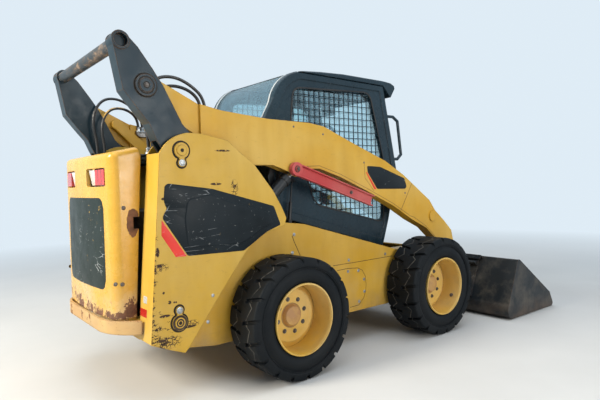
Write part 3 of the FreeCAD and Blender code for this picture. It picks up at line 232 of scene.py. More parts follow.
TOWER_STREAKS = ((-454, 1487, (0.26, 0.3, 2.2)), (-506, 1284, (0.36, 0.3, 1.8)), (-711, 450, (0.30, 0.3, 1.6)),
                 (-861, 537, (0.4, 0.3, 1.6)), (-880, 827, (0.5, 0.3, 1.3)), (-864, 670, (1.8, 0.3, 1.8)),
                 (-830, 611, (1.3, 0.3, 1.3)), (-802, 607, (2.4, 0.3, 2.4)), (-790, 606, (2.4, 0.3, 2.4)),
                 (-892, 905, (1.2, 0.3, 0.5)), (-845, 1205, (0.9, 0.3, 1.6)))
TOWER_CRACKS = ((-376, 1258, (0.80, 0.3, 0.42)), (-868, 815, (0.55, 0.3, 0.9)), (-838, 384, (0.28, 0.3, 0.60)),
                (-690, 462, (0.5, 0.3, 0.9)))


def tower_scratches(s):
    """Scratches on the right tower: stretched blots, and clusters of cracks."""
    blots = [s.near((x, -TOWER_OUTER, z), 0.012, 0.003, stretch) for x, z, stretch in TOWER_STREAKS]
    fields = [s.near((x, -TOWER_OUTER, z), 0.016, 0.008, stretch) for x, z, stretch in TOWER_CRACKS]
    return s.either(s.both(s.either(*blots), s.span(s.noise(60.0, 4.0, 0.7), 0.42, 0.46)),
                    s.both(s.either(*fields), cracks(s)))


def door_rust(s):
    """Rusted paint round the latch, low along the door and in its lower corners."""
    wander = s.noise(16.0, 6.0, 0.65)
    latch = s.near((-952, -DOOR_HALF, 1068), 0.020, 0.024, (0.85, 0.4, 0.36))
    latch = s.span(s.maths("ADD", latch, s.maths("MULTIPLY", s.maths("SUBTRACT", wander, 0.5), 1.3)), 0.50, 0.54)
    low = s.span(s.axis("Z"), 0.74, 0.55)
    skirt = s.span(s.maths("ADD", s.maths("MULTIPLY", low, 0.28), s.noise(10.0, 7.0, 0.72)), 0.77, 0.795)
    return s.either(latch, s.both(skirt, s.span(s.axis("Z"), 0.80, 0.76)))


def door_fade(s):
    return s.both(s.span(s.axis("Z"), 0.85, 0.55), s.span(s.noise(5.0, 5.0, 0.6), 0.35, 0.6))


def hub_rust(s):
    """Brown cap in the middle of each rim's disc."""
    caps = s.either(*[s.near((x, 0, TYRE_RADIUS), 0.078, 0.004, (1.0, 0.0, 1.0)) for x in (0.0, WHEELBASE)])
    return s.both(caps, s.span(s.noise(13.0, 5.0, 0.6), 0.30, 0.60, 0.35, 1.0))


def hub_ring(s):
    """Dark joint round the cap."""
    rings = []
    for x in (0.0, WHEELBASE):
        inside = s.near((x, 0, TYRE_RADIUS), 0.078, 0.002, (1.0, 0.0, 1.0))
        outside = s.near((x, 0, TYRE_RADIUS), 0.082, 0.002, (1.0, 0.0, 1.0))
        rings.append(s.maths("SUBTRACT", outside, inside))
    return s.both(s.either(*rings), 0.7)


def frame_dirt(s):
    return s.both(s.span(s.axis("Z"), 0.42, 0.27), s.span(s.noise(6.0, 6.0, 0.7), 0.35, 0.65, 0.0, 0.5))


def tube_wear(s):
    return s.span(s.noise(15.0, 6.0, 0.7, stretch=(1.0, 0.45, 1.0)), 0.50, 0.60, 0.0, 0.85)


def bucket_soil(s):
    return s.both(s.span(s.axis("Z"), 0.16, 0.05), s.span(s.noise(6.0, 5.0), 0.3, 0.6, 0.0, 0.7))


def paint(name, colour, faded, rough=0.4, wear=0.5, chips=0.35, dust=0.25, rust=RUST, marks=None, stain=None,
          round_off=0.006, shine=0.35):
    """Weathered paint: broad fading, rubbed rusty edges, small chips, dust low down and marks of its own."""
    s = Shader(name)
    patches = s.span(s.noise(1.7, 4.0), 0.38, 0.66)
    streaks = s.span(s.noise(9.0, 5.0, stretch=(1.0, 1.0, 0.22)), 0.4, 0.75)
    base = s.mix(patches, colour, faded)
    base = s.mix(s.maths("MULTIPLY", streaks, 0.35), base, tuple(c * 0.70 for c in colour))
    scuffs = s.span(s.noise(23.0, 6.0, 0.7, stretch=(1.0, 1.0, 2.5)), 0.58, 0.70)
    base = s.mix(s.maths("MULTIPLY", scuffs, 0.22), base, tuple(c * 0.5 for c in faded))
    low = s.span(s.axis("Z"), 0.95, 0.25, 0.12, 1.0)
    grime = s.both(s.span(s.noise(5.0, 6.0, 0.65), 0.45, 0.72), low, dust) if dust else None
    if grime:
        base = s.mix(grime, base, DUST)
    if stain:
        tint, mask = stain
        base = s.mix(mask(s), base, tint)
    rounded = s.rounded(round_off)
    edge = s.both(s.edges(rounded), s.span(s.noise(26.0, 5.0, 0.7), 0.64 - 0.27 * wear, 0.72))
    spots = s.both(s.span(s.noise(46.0, 4.0, 0.6), 0.745 - 0.06 * chips, 0.77), s.span(s.noise(2.3, 2.0), 0.45, 0.6))
    worn = s.either(edge, spots)
    if marks:
        worn = s.either(worn, marks(s))
    tone = s.mix(s.span(s.noise(33.0, 4.0), 0.35, 0.65), rust, tuple(min(1.0, c * 1.9) for c in rust))
    base = s.mix(worn, base, tone)
    roughness = s.maths("ADD", s.maths("MULTIPLY", worn, 0.4),
                        s.span(s.noise(14.0), 0.3, 0.8, rough - 0.06, rough + 0.12))
    height = s.maths("SUBTRACT", s.noise(60.0, 2.0), s.maths("MULTIPLY", worn, 3.0))
    normal = s.bump(height, 0.14, 0.001, rounded)
    return s.finish(base_color=base, roughness=roughness, normal=normal, specular_ior_level=shine)


def metal(name, colour, rough=0.35, rust_share=0.3, scratch=(1.0, 8.0, 1.0)):
    """Bare worn steel with brown patches and fine scratches."""
    s = Shader(name)
    lines = s.noise(70.0, 3.0, stretch=scratch)
    patches = s.span(s.noise(7.0, 6.0, 0.7), 0.62 - 0.3 * rust_share, 0.74)
    base = s.mix(s.span(lines, 0.3, 0.8), colour, tuple(c * 0.6 for c in colour))
    base = s.mix(patches, base, RUST)
    roughness = s.maths("ADD", s.maths("MULTIPLY", patches, 0.4), s.span(lines, 0.3, 0.8, rough, rough + 0.15))
    normal = s.bump(lines, 0.15, 0.0008, s.rounded(0.003))
    return s.finish(base_color=base, roughness=roughness, metallic=s.span(patches, 1.0, 0.0, 0.25, 0.9),
                    normal=normal)


def plastic(name, colour, rough=0.55, dust=0.3, shine=0.3):
    s = Shader(name)
    base = s.mix(s.maths("MULTIPLY", s.span(s.noise(6.0, 5.0), 0.4, 0.75), dust), colour, DUST)
    normal = s.bump(s.noise(120.0, 3.0), 0.1, 0.0006, s.rounded(0.003))
    return s.finish(base_color=base, roughness=s.span(s.noise(11.0), 0.3, 0.8, rough - 0.08, rough + 0.1),
                    normal=normal, specular_ior_level=shine)


def vinyl():
    """Seat cover with a fine grain, rubbed lighter on its crown."""
    s = Shader("seat_vinyl")
    grain = s.new("TexVoronoi", {"Vector": s.place, "Scale": 420.0}).outputs["Distance"]
    rub = s.both(s.span(s.noise(7.0, 4.0), 0.4, 0.7), s.span(s.facing("Z"), 0.3, 1.0))
    base = s.mix(s.maths("MULTIPLY", rub, 0.30), (0.014, 0.014, 0.016), (0.060, 0.056, 0.052))
    return s.finish(base_color=base, roughness=s.span(s.noise(15.0), 0.3, 0.8, 0.42, 0.58),
                    normal=s.bump(grain, 0.25, 0.0006))


def film(name, colour, scratch=0.5, under=(0.60, 0.36, 0.06)):
    """Adhesive film on the paint: fine pale scratches, and torn bits where the paint shows."""
    s = Shader(name)
    base = s.mix(s.span(s.noise(3.0, 4.0), 0.3, 0.7), colour, tuple(c * 1.6 + 0.003 for c in colour))
    lines = s.new("TexVoronoi", {"Vector": s.new("Mapping", {"Vector": s.place, "Rotation": (0.3, 0.5, 0.2),
                                                             "Scale": (1.0, 1.0, 3.2)}).outputs["Vector"],
                                 "Scale": 7.0}, feature="DISTANCE_TO_EDGE").outputs["Distance"]
    thin = s.both(s.span(lines, 0.020, 0.009), s.span(s.noise(5.0, 5.0, 0.7), 0.56, 0.62), scratch)
    base = s.mix(thin, base, (0.42, 0.44, 0.45))
    base = s.mix(s.both(s.span(s.noise(60.0, 3.0, 0.7), 0.68, 0.72), scratch), base, (0.34, 0.34, 0.33))
    torn = s.both(s.span(s.noise(17.0, 5.0, 0.65), 0.66, 0.68), s.span(s.noise(2.0, 2.0), 0.48, 0.58))
    base = s.mix(torn, base, under)
    normal = s.bump(s.maths("SUBTRACT", s.noise(35.0, 2.0), s.maths("MULTIPLY", torn, 2.0)), 0.1, 0.001)
    return s.finish(base_color=base, roughness=s.span(s.noise(12.0, 4.0), 0.3, 0.8, 0.30, 0.5), normal=normal,
                    specular_ior_level=0.12)


def lens_ribs(s):
    return s.new("TexWave", {"Vector": s.place, "Scale": 42.0, "Distortion": 0.0},
                 bands_direction="Y", wave_profile="TRI").outputs["Fac"]


def lamp_material():
    """Tail lamp: ribbed red lens outside, lighter where it faces up as a painted highlight, clear lens inside, black
    housing behind.
    """
    s = Shader("tail_lamp")
    side = s.maths("ABSOLUTE", s.axis("Y"))
    lens = s.span(s.axis("X"), at(-1057.5, 0, 0).x, at(-1058.5, 0, 0).x)
    red = s.span(side, 0.2495, 0.2505)
    ribs = lens_ribs(s)
    # Painted highlight: the red lens is made lighter where it faces up.
    red_painted_highlight = s.mix(s.span(s.facing("Z"), 0.0, 0.6), (0.62, 0.015, 0.012), (0.80, 0.10, 0.07))
    outer = s.mix(s.maths("MULTIPLY", ribs, 0.35), red_painted_highlight, (0.28, 0.004, 0.004))
    band = s.either(*[s.span(s.maths("ABSOLUTE", s.maths("SUBTRACT", side, y)), 0.0045, 0.003) for y in (0.298, 0.346)])
    outer = s.mix(band, outer, (0.10, 0.002, 0.002))
    inner = s.mix(s.maths("MULTIPLY", ribs, 0.4), (0.78, 0.77, 0.76), (0.42, 0.40, 0.40))
    face = s.mix(red, inner, outer)
    base = s.mix(lens, (0.012, 0.012, 0.013), face)
    base = s.mix(s.maths("MULTIPLY", s.span(s.noise(18.0, 4.0), 0.5, 0.8), 0.25), base, DUST)
    return s.finish(base_color=base, roughness=s.span(lens, 0.0, 1.0, 0.6, 0.12),
                    normal=s.bump(s.both(ribs, lens), 0.3, 0.001, s.rounded(0.004)), coat_weight=0.5,
                    coat_roughness=0.05)


def lamp_glass():
    s = Shader("work_lamp")
    front = s.span(s.facing("X"), 0.8, 0.9)
    ribs = lens_ribs(s)
    base = s.mix(front, (0.014, 0.014, 0.015), s.mix(s.maths("MULTIPLY", ribs, 0.5), (0.72, 0.74, 0.74), (0.4, 0.4, 0.42)))
    return s.finish(base_color=base, roughness=s.span(front, 0.0, 1.0, 0.55, 0.1),
                    normal=s.bump(s.both(ribs, front), 0.3, 0.001, s.rounded(0.006)))


def reflector(name, colour):
    """Prism sheet: a fine lattice under a clear face."""
    s = Shader(name)
    cells = s.new("TexVoronoi", {"Vector": s.place, "Scale": 260.0}).outputs["Distance"]
    base = s.mix(s.span(cells, 0.1, 0.6), colour, tuple(c * 0.6 for c in colour))
    return s.finish(base_color=base, roughness=0.22, normal=s.bump(cells, 0.3, 0.0008), coat_weight=0.4,
                    coat_roughness=0.08)


def glass_material():
    s = Shader("tinted_pane")
    dust = s.maths("MULTIPLY", s.span(s.noise(4.0, 6.0, 0.7), 0.45, 0.85), 0.10)
    clear = s.new("BsdfTransparent", {"Color": (0.80, 0.91, 0.93, 1.0)}).outputs[0]
    shine = s.new("BsdfGlossy", {"Color": (0.85, 0.95, 1.0, 1.0), "Roughness": 0.05}).outputs[0]
    haze = s.new("BsdfDiffuse", {"Color": (0.34, 0.38, 0.38, 1.0)}).outputs[0]
    facing = s.new("LayerWeight", {"Blend": 0.35}).outputs["Fresnel"]
    pane = s.new("MixShader", {0: s.span(facing, 0.0, 1.0, 0.03, 0.60), 1: clear, 2: shine}).outputs[0]
    whole = s.new("MixShader", {0: dust, 1: pane, 2: haze}).outputs[0]
    out = s.new("OutputMaterial")
    s.tree.links.new(whole, out.inputs["Surface"])
    return s.material


def rubber(name, colour=(0.010, 0.011, 0.013), rough=0.6, dust=0.25, shine=0.25, crown=None):
    """Rubber under a thin veil of dust; crown tints the sides that face up."""
    s = Shader(name)
    veil = s.maths("MULTIPLY", s.span(s.noise(5.0, 6.0, 0.65), 0.42, 0.75), dust)
    base = s.mix(veil, colour, tuple(c * 0.6 for c in DUST))
    if crown:
        base = s.mix(s.both(s.span(s.facing("Z"), 0.25, 0.5), s.span(s.noise(20.0, 4.0), 0.40, 0.48)), base, crown)
    normal = s.bump(s.noise(90.0, 3.0), 0.05, 0.0008)
    return s.finish(base_color=base, roughness=s.span(s.noise(12.0), 0.3, 0.8, rough - 0.08, rough + 0.1),
                    normal=normal, specular_ior_level=shine)


TREAD_PITCH = 0.13893


def tread_rubber():
    """Tread blocks: worn matt rubber with a dusty saw cut that zigzags along each row."""
    s = Shader("tyre_tread")
    uv = s.new("UVMap").outputs["UV"]
    out = s.maths("ABSOLUTE", s.axis("Y", uv))
    share = s.maths("FRACT", s.maths("DIVIDE", s.axis("X", uv), TREAD_PITCH))
    rise = s.maths("MINIMUM", s.maths("DIVIDE", share, 0.62), s.maths("DIVIDE", s.maths("SUBTRACT", 1.0, share), 0.38))
    line = s.maths("ADD", s.maths("MULTIPLY", rise, 0.052), 0.042)
    cut = s.maths("ABSOLUTE", s.maths("SUBTRACT", out, line))
    mask = s.span(cut, 0.0046, 0.0024)
    broken = s.span(s.noise(22.0, 5.0, 0.7), 0.40, 0.54, 0.15, 1.0)
    veil = s.maths("MULTIPLY", s.span(s.noise(6.0, 6.0, 0.65), 0.42, 0.75), 0.30)
    base = s.mix(veil, (0.005, 0.007, 0.009), (0.034, 0.034, 0.034))
    base = s.mix(s.both(mask, broken), base, (0.11, 0.105, 0.095))
    height = s.maths("SUBTRACT", s.maths("MULTIPLY", s.noise(80.0, 4.0), 0.5), s.maths("MULTIPLY", mask, 3.0))
    return s.finish(base_color=base, roughness=s.span(s.noise(12.0), 0.3, 0.8, 0.5, 0.72),
                    normal=s.bump(height, 0.3, 0.0015), specular_ior_level=0.13)


YELLOW = (0.60, 0.325, 0.022)
YELLOW_FADED = (0.64, 0.405, 0.085)

MATERIALS = {
    "yellow": paint("yellow_weathered", YELLOW, YELLOW_FADED, 0.40, 0.55, 0.35, 0.2),
    "frame": paint("frame_weathered", (0.54, 0.30, 0.022), (0.60, 0.37, 0.07), 0.45, 0.45, 0.25, 0.3,
                   stain=((0.16, 0.11, 0.06), frame_dirt)),
    "tower": paint("tower_weathered", (0.58, 0.34, 0.030), (0.62, 0.40, 0.085), 0.42, 0.9, 0.35, 0.2,
                   rust=(0.030, 0.016, 0.011), marks=lambda s: s.either(tower_chips(s), tower_scratches(s))),
    "door": paint("door_weathered", (0.63, 0.335, 0.022), (0.67, 0.40, 0.075), 0.26, 0.65, 0.6, 0.25,
                  rust=(0.10, 0.042, 0.020), marks=door_rust, stain=((0.62, 0.43, 0.20), door_fade), round_off=0.01,
                  shine=0.5),
    "bumper": paint("bumper_weathered", (0.62, 0.42, 0.17), (0.46, 0.26, 0.11), 0.55, 1.1, 1.0, 0.4,
                    rust=(0.15, 0.065, 0.030), marks=lambda s: s.span(s.noise(9.0, 7.0, 0.7), 0.575, 0.61),
                    round_off=0.012),
    "rim": paint("rim_weathered", (0.66, 0.39, 0.050), (0.70, 0.47, 0.15), 0.34, 1.1, 0.6, 0.4,
                 rust=(0.06, 0.03, 0.018), marks=hub_ring, stain=((0.42, 0.23, 0.10), hub_rust)),
    "link": paint("link_weathered", (0.007, 0.022, 0.034), (0.014, 0.036, 0.052), 0.34, 1.45, 0.6, 0.2,
                  (0.19, 0.105, 0.050), round_off=0.009, shine=0.22),
    "tube": paint("tube_weathered", (0.020, 0.030, 0.038), (0.034, 0.044, 0.052), 0.42, 1.0, 0.8, 0.3,
                  (0.15, 0.110, 0.082), marks=tube_wear),
    "cab": paint("cab_weathered", (0.007, 0.020, 0.031), (0.012, 0.032, 0.047), 0.26, 0.2, 0.1, 0.08,
                 rust=(0.07, 0.08, 0.09), round_off=0.012, shine=0.3),
    "dark": paint("dark_weathered", (0.007, 0.009, 0.011), (0.012, 0.015, 0.018), 0.36, 0.7, 0.4, 0.3),
    "bucket": paint("bucket_weathered", (0.009, 0.013, 0.017), (0.017, 0.021, 0.024), 0.42, 1.2, 0.9, 0.25,
                    (0.085, 0.045, 0.028), shine=0.25, stain=((0.10, 0.070, 0.050), bucket_soil)),
    "brace": paint("brace_weathered", (0.52, 0.045, 0.048), (0.56, 0.130, 0.120), 0.42, 0.45, 0.5, 0.15,
                   rust=(0.04, 0.015, 0.015)),
    "engine": plastic("engine_grime", (0.012, 0.012, 0.012), 0.6, 0.3),
    "chrome": metal("rod_chrome", (0.70, 0.71, 0.74), 0.12, 0.0, (1.0, 1.0, 1.0)),
    "steel": metal("worn_steel", (0.26, 0.25, 0.24), 0.38, 0.6),
    "zinc": metal("bolt_zinc", (0.40, 0.42, 0.43), 0.34, 0.35, (1.0, 1.0, 1.0)),
    "stud": metal("stud_steel", (0.16, 0.15, 0.14), 0.42, 0.7, (1.0, 1.0, 1.0)),
    "glass": glass_material(),
    "vinyl": vinyl(),
    "plastic": plastic("black_plastic", (0.012, 0.012, 0.014), 0.5, 0.2),
    "seal": plastic("seal_grey", (0.46, 0.50, 0.52), 0.5, 0.2),
    "seam": plastic("seam_shadow", (0.016, 0.011, 0.007), 0.8, 0.1),
    "grease": plastic("grease_rust", (0.030, 0.014, 0.007), 0.6, 0.25),
    "weld": paint("weld_line", (0.10, 0.045, 0.018), (0.34, 0.18, 0.04), 0.55, 0.2, 0.5, 0.2),
    "panel": film("panel_dark", (0.008, 0.012, 0.015), 0.6),
    "door_panel": film("door_panel_dark", (0.010, 0.017, 0.015), 1.0),
    "stripe": film("stripe_red", (0.60, 0.045, 0.034), 0.6),
    "reflector_red": reflector("reflector_red", (0.66, 0.03, 0.02)),
    "reflector_white": reflector("reflector_white", (0.72, 0.72, 0.70)),
    "tread": tread_rubber(),
    "groove": rubber("tyre_groove", (0.010, 0.010, 0.010), 0.8, 0.2, 0.1),
    "wall": rubber("tyre_wall", (0.005, 0.006, 0.008), 0.17, 0.04, 0.6),
    "hose": rubber("hose_rubber", (0.010, 0.011, 0.013), 0.34, 0.15, 0.4),
    "hose_lined": rubber("hose_lined", (0.010, 0.011, 0.013), 0.38, 0.15, 0.4, (0.42, 0.25, 0.05)),
    "lamp": lamp_material(),
    "work_lamp": lamp_glass(),
}

LOOKS = (
    # material, nodes
    ("frame", ("main_frame", "axle_housings")),
    ("tower", ("towers",)),
    ("door", ("rear_door",)),
    ("bumper", ("rear_bumper",)),
    ("yellow", ("lift_arms", "arm_legs", "arm_member", "front_links")),
    ("rim", ("rim_front_left", "rim_front_right", "rim_rear_left", "rim_rear_right")),
    ("link", ("rear_links",)),
    ("tube", ("torque_tube",)),
    ("cab", ("cab_shell", "cab_roof", "top_guard", "hood_frame", "cab_screens", "grab_handles")),
    ("dark", ("boom_stops", "coupler", "lift_barrels", "tilt_barrels", "cab_floor", "cab_struts")),
    ("lamp", ("tail_lamps",)),
    ("work_lamp", ("work_lamps",)),
    ("bucket", ("bucket",)),
    ("steel", ("cutting_edge", "oil_tubes")),
    ("brace", ("lock_brace",)),
    ("engine", ("engine_block",)),
    ("chrome", ("lift_rods", "tilt_rods")),
    ("glass", ("cab_glass",)),
    ("vinyl", ("seat",)),
    ("plastic", ("controls",)),
    ("tread", ("tyre_front_left", "tyre_front_right", "tyre_rear_left", "tyre_rear_right")),
    ("hose", ("hose_right_outer", "hose_right_inner", "hose_left_outer", "hose_left_inner")),
)


def wear_material(obj, *looks):
    obj.data.materials.clear()
    for look in looks:
        obj.data.materials.append(MATERIALS[look])


for look, names in LOOKS:
    for name in names:
        wear_material(NODES[name], look)


# Mesh helpers

def new_piece(name, vertices, faces, body, looks, part_slot, stands_for=(), smooth=30.0, places=None, uvs=None):
    """One mesh piece from points in millimetres; places gives each face its material, uvs each corner's pair."""
    data = bpy.data.meshes.new(name)
    data.from_pydata([at(*v) for v in vertices], [], faces)
    if uvs is not None:
        layer = data.uv_layers.new(name="UVMap")
        layer.uv.foreach_set("vector", np.asarray(uvs, dtype=np.float32).ravel())
    if places is not None:
        data.polygons.foreach_set("material_index", np.asarray(places, dtype=np.int32))
    data.validate()
    if smooth:
        data.shade_smooth()
        data.set_sharp_from_angle(angle=math.radians(smooth))
    piece = bpy.data.objects.new(name, data)
    bpy.context.scene.collection.objects.link(piece)
    wear_material(piece, *looks)
    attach(piece, body)
    if stands_for:
        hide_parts(*stands_for)
    return piece


def joined(parts):
    """Several (vertices, faces) pairs as one."""
    vertices = []
    faces = []
    for more_vertices, more_faces in parts:
        start = len(vertices)
        vertices += more_vertices
        faces += [tuple(start + i for i in face) for face in more_faces]
    return vertices, faces


def rounded_corners(points, radius, steps=5):
    """The closed outline with each corner turned into a short curve."""
    out = []
    count = len(points)
    for index in range(count):
        before = Vector(points[index - 1])
        here = Vector(points[index])
        after = Vector(points[(index + 1) % count])
        back = before - here
        ahead = after - here
        reach = min(radius, back.length * 0.45, ahead.length * 0.45)
        start = here + back.normalized() * reach
        finish = here + ahead.normalized() * reach
        for step in range(steps + 1):
            t = step / steps
            out.append(tuple(start * (1 - t) ** 2 + here * 2 * t * (1 - t) + finish * t ** 2))
    return out


def plate_on_side(points, side, y, thick, slope=0.6):
    """Thin plate from an outline in (x, z), on a side face at |Y| = y, standing thick proud; slope is its bevel."""
    inner = [Vector(p) for p in points]
    middle = sum(inner, Vector((0.0, 0.0))) / len(inner)
    rings = [(0.0, 0.0), (thick * 0.5, slope * 0.15), (thick * 0.85, slope * 0.5), (thick, slope)]
    vertices = []
    for height, inset in rings:
        for p in inner:
            towards = (middle - p).normalized() * inset
            vertices.append((p.x + towards.x, side * (y + height), p.y + towards.y))
    count = len(inner)
    faces = []
    for ring in range(len(rings) - 1):
        for i in range(count):
            j = (i + 1) % count
            a, b = ring * count, (ring + 1) * count
            faces.append((a + i, a + j, b + j, b + i))
    faces.append(tuple(range((len(rings) - 1) * count, len(rings) * count)))
    if side > 0:
        faces = [tuple(reversed(f)) for f in faces]
    return vertices, faces


def ribbon_on_side(points, width, side, y, thick=0.5, closed=False):
    """Narrow raised line along a polyline in (x, z), on a side face."""
    path = [Vector(p) for p in points]
    count = len(path)
    vertices = []
    for i, here in enumerate(path):
        before = path[i - 1] if i or closed else here
        after = path[(i + 1) % count] if i < count - 1 or closed else here
        along = (after - before).normalized()
        out = Vector((-along.y, along.x)) * width / 2.0
        for offset, height in ((-1.0, 0.0), (-0.8, thick), (0.8, thick), (1.0, 0.0)):
            vertices.append((here.x + out.x * offset, side * (y + height), here.y + out.y * offset))
    faces = []
    for i in range(count if closed else count - 1):
        a = 4 * i
        b = 4 * ((i + 1) % count)
        for k in range(3):
            quad = (a + k, b + k, b + k + 1, a + k + 1)
            faces.append(quad if side < 0 else tuple(reversed(quad)))
    return vertices, faces


def bolt(centre, axis, radius=8.0, height=6.0, turn=0.0):
    """Hexagon head with rounded top edges on a washer; axis is the unit direction that it stands out along."""
    z = Vector(axis)
    x = z.orthogonal().normalized()
    y = z.cross(x)
    base = Vector(centre)
    rings = []
    for r, h, sides in ((1.55, 0.0, 0), (1.55, 0.22, 0), (1.45, 0.3, 0), (1.0, 0.3, 6), (1.0, 0.88, 6), (0.88, 1.0, 6)):
        ring = []
        for i in range(24):
            angle = turn + math.tau * i / 24
            reach = r * radius
            if sides:
                reach *= math.cos(math.pi / 6) / math.cos((angle - turn) % (math.pi / 3) - math.pi / 6)
            ring.append(tuple(base + x * reach * math.cos(angle) + y * reach * math.sin(angle) + z * h * height))
        rings.append(ring)
    vertices = [v for ring in rings for v in ring]
    faces = []
    for k in range(len(rings) - 1):
        for i in range(24):
            j = (i + 1) % 24
            faces.append((24 * k + i, 24 * k + j, 24 * k + 24 + j, 24 * k + 24 + i))
    faces.append(tuple(range(24 * (len(rings) - 1), 24 * len(rings))))
    return vertices, faces


# Dark panels and red stripes, with no lettering

TOWER_PANEL = [(-816, 1293), (-532, 1255), (-78, 1130), (-26, 1002), (-139, 964), (-318, 858), (-706, 865),
               (-857, 1096), (-846, 1122), (-828, 1150), (-838, 1168), (-846, 1196), (-838, 1280)]
TOWER_RAISED = [(-700, 1196), (-535, 1226), (-440, 1183), (-118, 1088), (-86, 1010), (-150, 1000), (-322, 905),
                (-705, 912), (-722, 1078)]
TOWER_STRIPE = [(-862, 1086), (-714, 866), (-782, 866), (-866, 998)]
ARM_PANEL = [(857, 1398), (1005, 1392), (1300, 1296), (1328, 1226), (1306, 1208), (968, 1215), (862, 1348)]
ARM_STRIPE = [(842, 1350), (853, 1350), (960, 1213), (934, 1214)]
FILM = 0.9


def add_side_panels():
    for side, label in ((-1, "right"), (1, "left")):
        looks = (
            # name, outline, |Y|, body, look, corner radius, thickness, bevel
            ("tower_panel", TOWER_PANEL, TOWER_OUTER, "frame", "panel", 12.0, FILM, 0.6),
            ("tower_panel_raised", TOWER_RAISED, TOWER_OUTER + FILM - 0.2, "frame", "panel", 30.0, 5.0, 12.0),
            ("tower_stripe", TOWER_STRIPE, TOWER_OUTER, "frame", "stripe", 3.0, FILM, 0.6),
            ("arm_panel", ARM_PANEL, ARM_OUTER, "lift_arm", "panel", 14.0, FILM, 0.6),
            ("arm_stripe", ARM_STRIPE, ARM_OUTER, "lift_arm", "stripe", 2.0, FILM, 0.6),
        )
        for name, outline, y, body, look, radius, thick, bevel in looks:
            vertices, faces = plate_on_side(rounded_corners(outline, radius), side, y, thick, bevel)
            new_piece(name + "_" + label, vertices, faces, body, (look,), "dark_paint" if look == "panel" else "brace_paint")


add_side_panels()


def door_face(y):
    """X of the bowed door's outside at a Y."""
    radius = (DOOR_HALF ** 2 + DOOR_BOW ** 2) / (2 * DOOR_BOW)
    return DOOR_REAR + radius - math.sqrt(radius ** 2 - y ** 2)


def add_door_panel():
    """Blank dark film on the door's bowed face."""
    half, low, high, corner = 362.0, 672.0, 1218.0, 62.0
    columns = 40
    vertices = []
    for i in range(columns + 1):
        y = -half + 2 * half * i / columns
        over = max(0.0, abs(y) - (half - corner)) / corner
        drop = corner * (1 - math.sqrt(max(0.0, 1 - over ** 2)))
        for share in (0.0, 0.02, 0.5, 0.98, 1.0):
            z = low + drop + (high - low - 2 * drop) * share
            vertices.append((door_face(y) - (FILM if 0.0 < share < 1.0 else 0.0), y, z))
    faces = []
    for i in range(columns):
        for k in range(4):
            a = 5 * i + k
            faces.append((a, a + 1, a + 6, a + 5))
    new_piece("door_panel", vertices, faces, "rear_door", ("door_panel",), "dark_paint")


add_door_panel()


# Seams, welds and bolts

SEAMS = (
    # name, points, width
    ("shelf_seam", [(150, 906), (168, 862), (221, 757)], 5.0),
    ("long_seam", [(534, 646), (800, 646), (1202, 649)], 4.0),
    ("cover_seam", [(574, 604), (690, 607), (795, 598), (846, 574), (880, 520), (886, 460), (881, 404), (856, 352),
                    (801, 304), (702, 300)], 4.0),
)
FRAME_BOLTS = ((168, 913), (150, 785), (700, 671), (1118, 674), (689, 584), (803, 575), (864, 500), (865, 402), (804, 331))
TOWER_BOLTS = ((-550, 607), (-589, 453))
ARM_LINE = [(1420, 963), (1366, 978), (1160, 1090), (870, 1216), (573, 1335), (366, 1398), (250, 1394)]
LEG_LINE = [(1880, 470), (1852, 598), (1782, 710), (1680, 796), (1572, 880), (1420, 963)]
ARM_WELD = [(826, 1418), (832, 1304), (930, 1202)]
LEG_WELD = [(1247, 1027), (1320, 1137), (1396, 1252)]
ARM_BOLTS = ((824, 1424), (138, 1668), (407, 1626), (1306, 1173))


def add_side_details():
    seams = []
    bolts = []
    arm_lines = []
    arm_bolts = []
    for side in (-1, 1):
        for _, points, width in SEAMS:
            seams.append(ribbon_on_side(points, width, side, SIDE_OUTER))
        for index, (x, z) in enumerate(FRAME_BOLTS):
            bolts.append(bolt((x, side * SIDE_OUTER, z), (0, side, 0), 8.0, 6.0, 0.7 * index))
        for index, (x, z) in enumerate(TOWER_BOLTS):
            bolts.append(bolt((x, side * TOWER_OUTER, z), (0, side, 0), 7.0, 4.0, 0.9 * index))
        for points, width in ((ARM_LINE, 4.0), (ARM_WELD, 4.0)):
            arm_lines.append(ribbon_on_side(points, width, side, ARM_OUTER))
        arm_lines.append(ribbon_on_side(LEG_LINE, 4.0, side, ARM_OUTER))
        arm_lines.append(ribbon_on_side(LEG_WELD, 5.0, side, ARM_OUTER, 0.8))
        for index, (x, z) in enumerate(ARM_BOLTS):
            arm_bolts.append(bolt((x, side * ARM_OUTER, z), (0, side, 0), 5.0, 4.0, 0.5 * index))
    new_piece("frame_seams", *joined(seams), "frame", ("seam",), "dark_paint")
    new_piece("frame_bolts", *joined(bolts), "frame", ("zinc",), "bare_steel")
    new_piece("arm_welds", *joined(arm_lines), "lift_arm", ("weld",), "yellow_paint")
    new_piece("arm_bolts", *joined(arm_bolts), "lift_arm", ("steel",), "bare_steel")


add_side_details()


# Keepers: keyhole plates with a bolt, a painted shadow in the gap round them, and grease round the pins

KEEPERS = (
    # pivot x, z, bolt offset in z
    (-728.0, 1483.0, -1),
    (-773.0, 484.0, 1),
)
KEEPER_LENGTH = 72.0
KEEPER_THICK = 8.0


def keyhole(x, z, direction, grow):
    """Outline of a keeper plate moved out by grow: a large disc, a neck and a small disc."""
    big = 46.0 + grow
    small = 24.0 + grow
    end = z + direction * KEEPER_LENGTH
    neck = math.asin(17.0 / big)
    points = []
    for i in range(25):
        angle = direction * math.pi / 2 + neck * 1.2 + (math.tau - 2.4 * neck) * i / 24
        points.append((x + big * math.cos(angle), z + big * math.sin(angle)))
    for i in range(13):
        angle = direction * math.pi / 2 - math.pi / 2 + math.pi * i / 12
        points.append((x + small * math.cos(angle), end + small * math.sin(angle)))
    return points


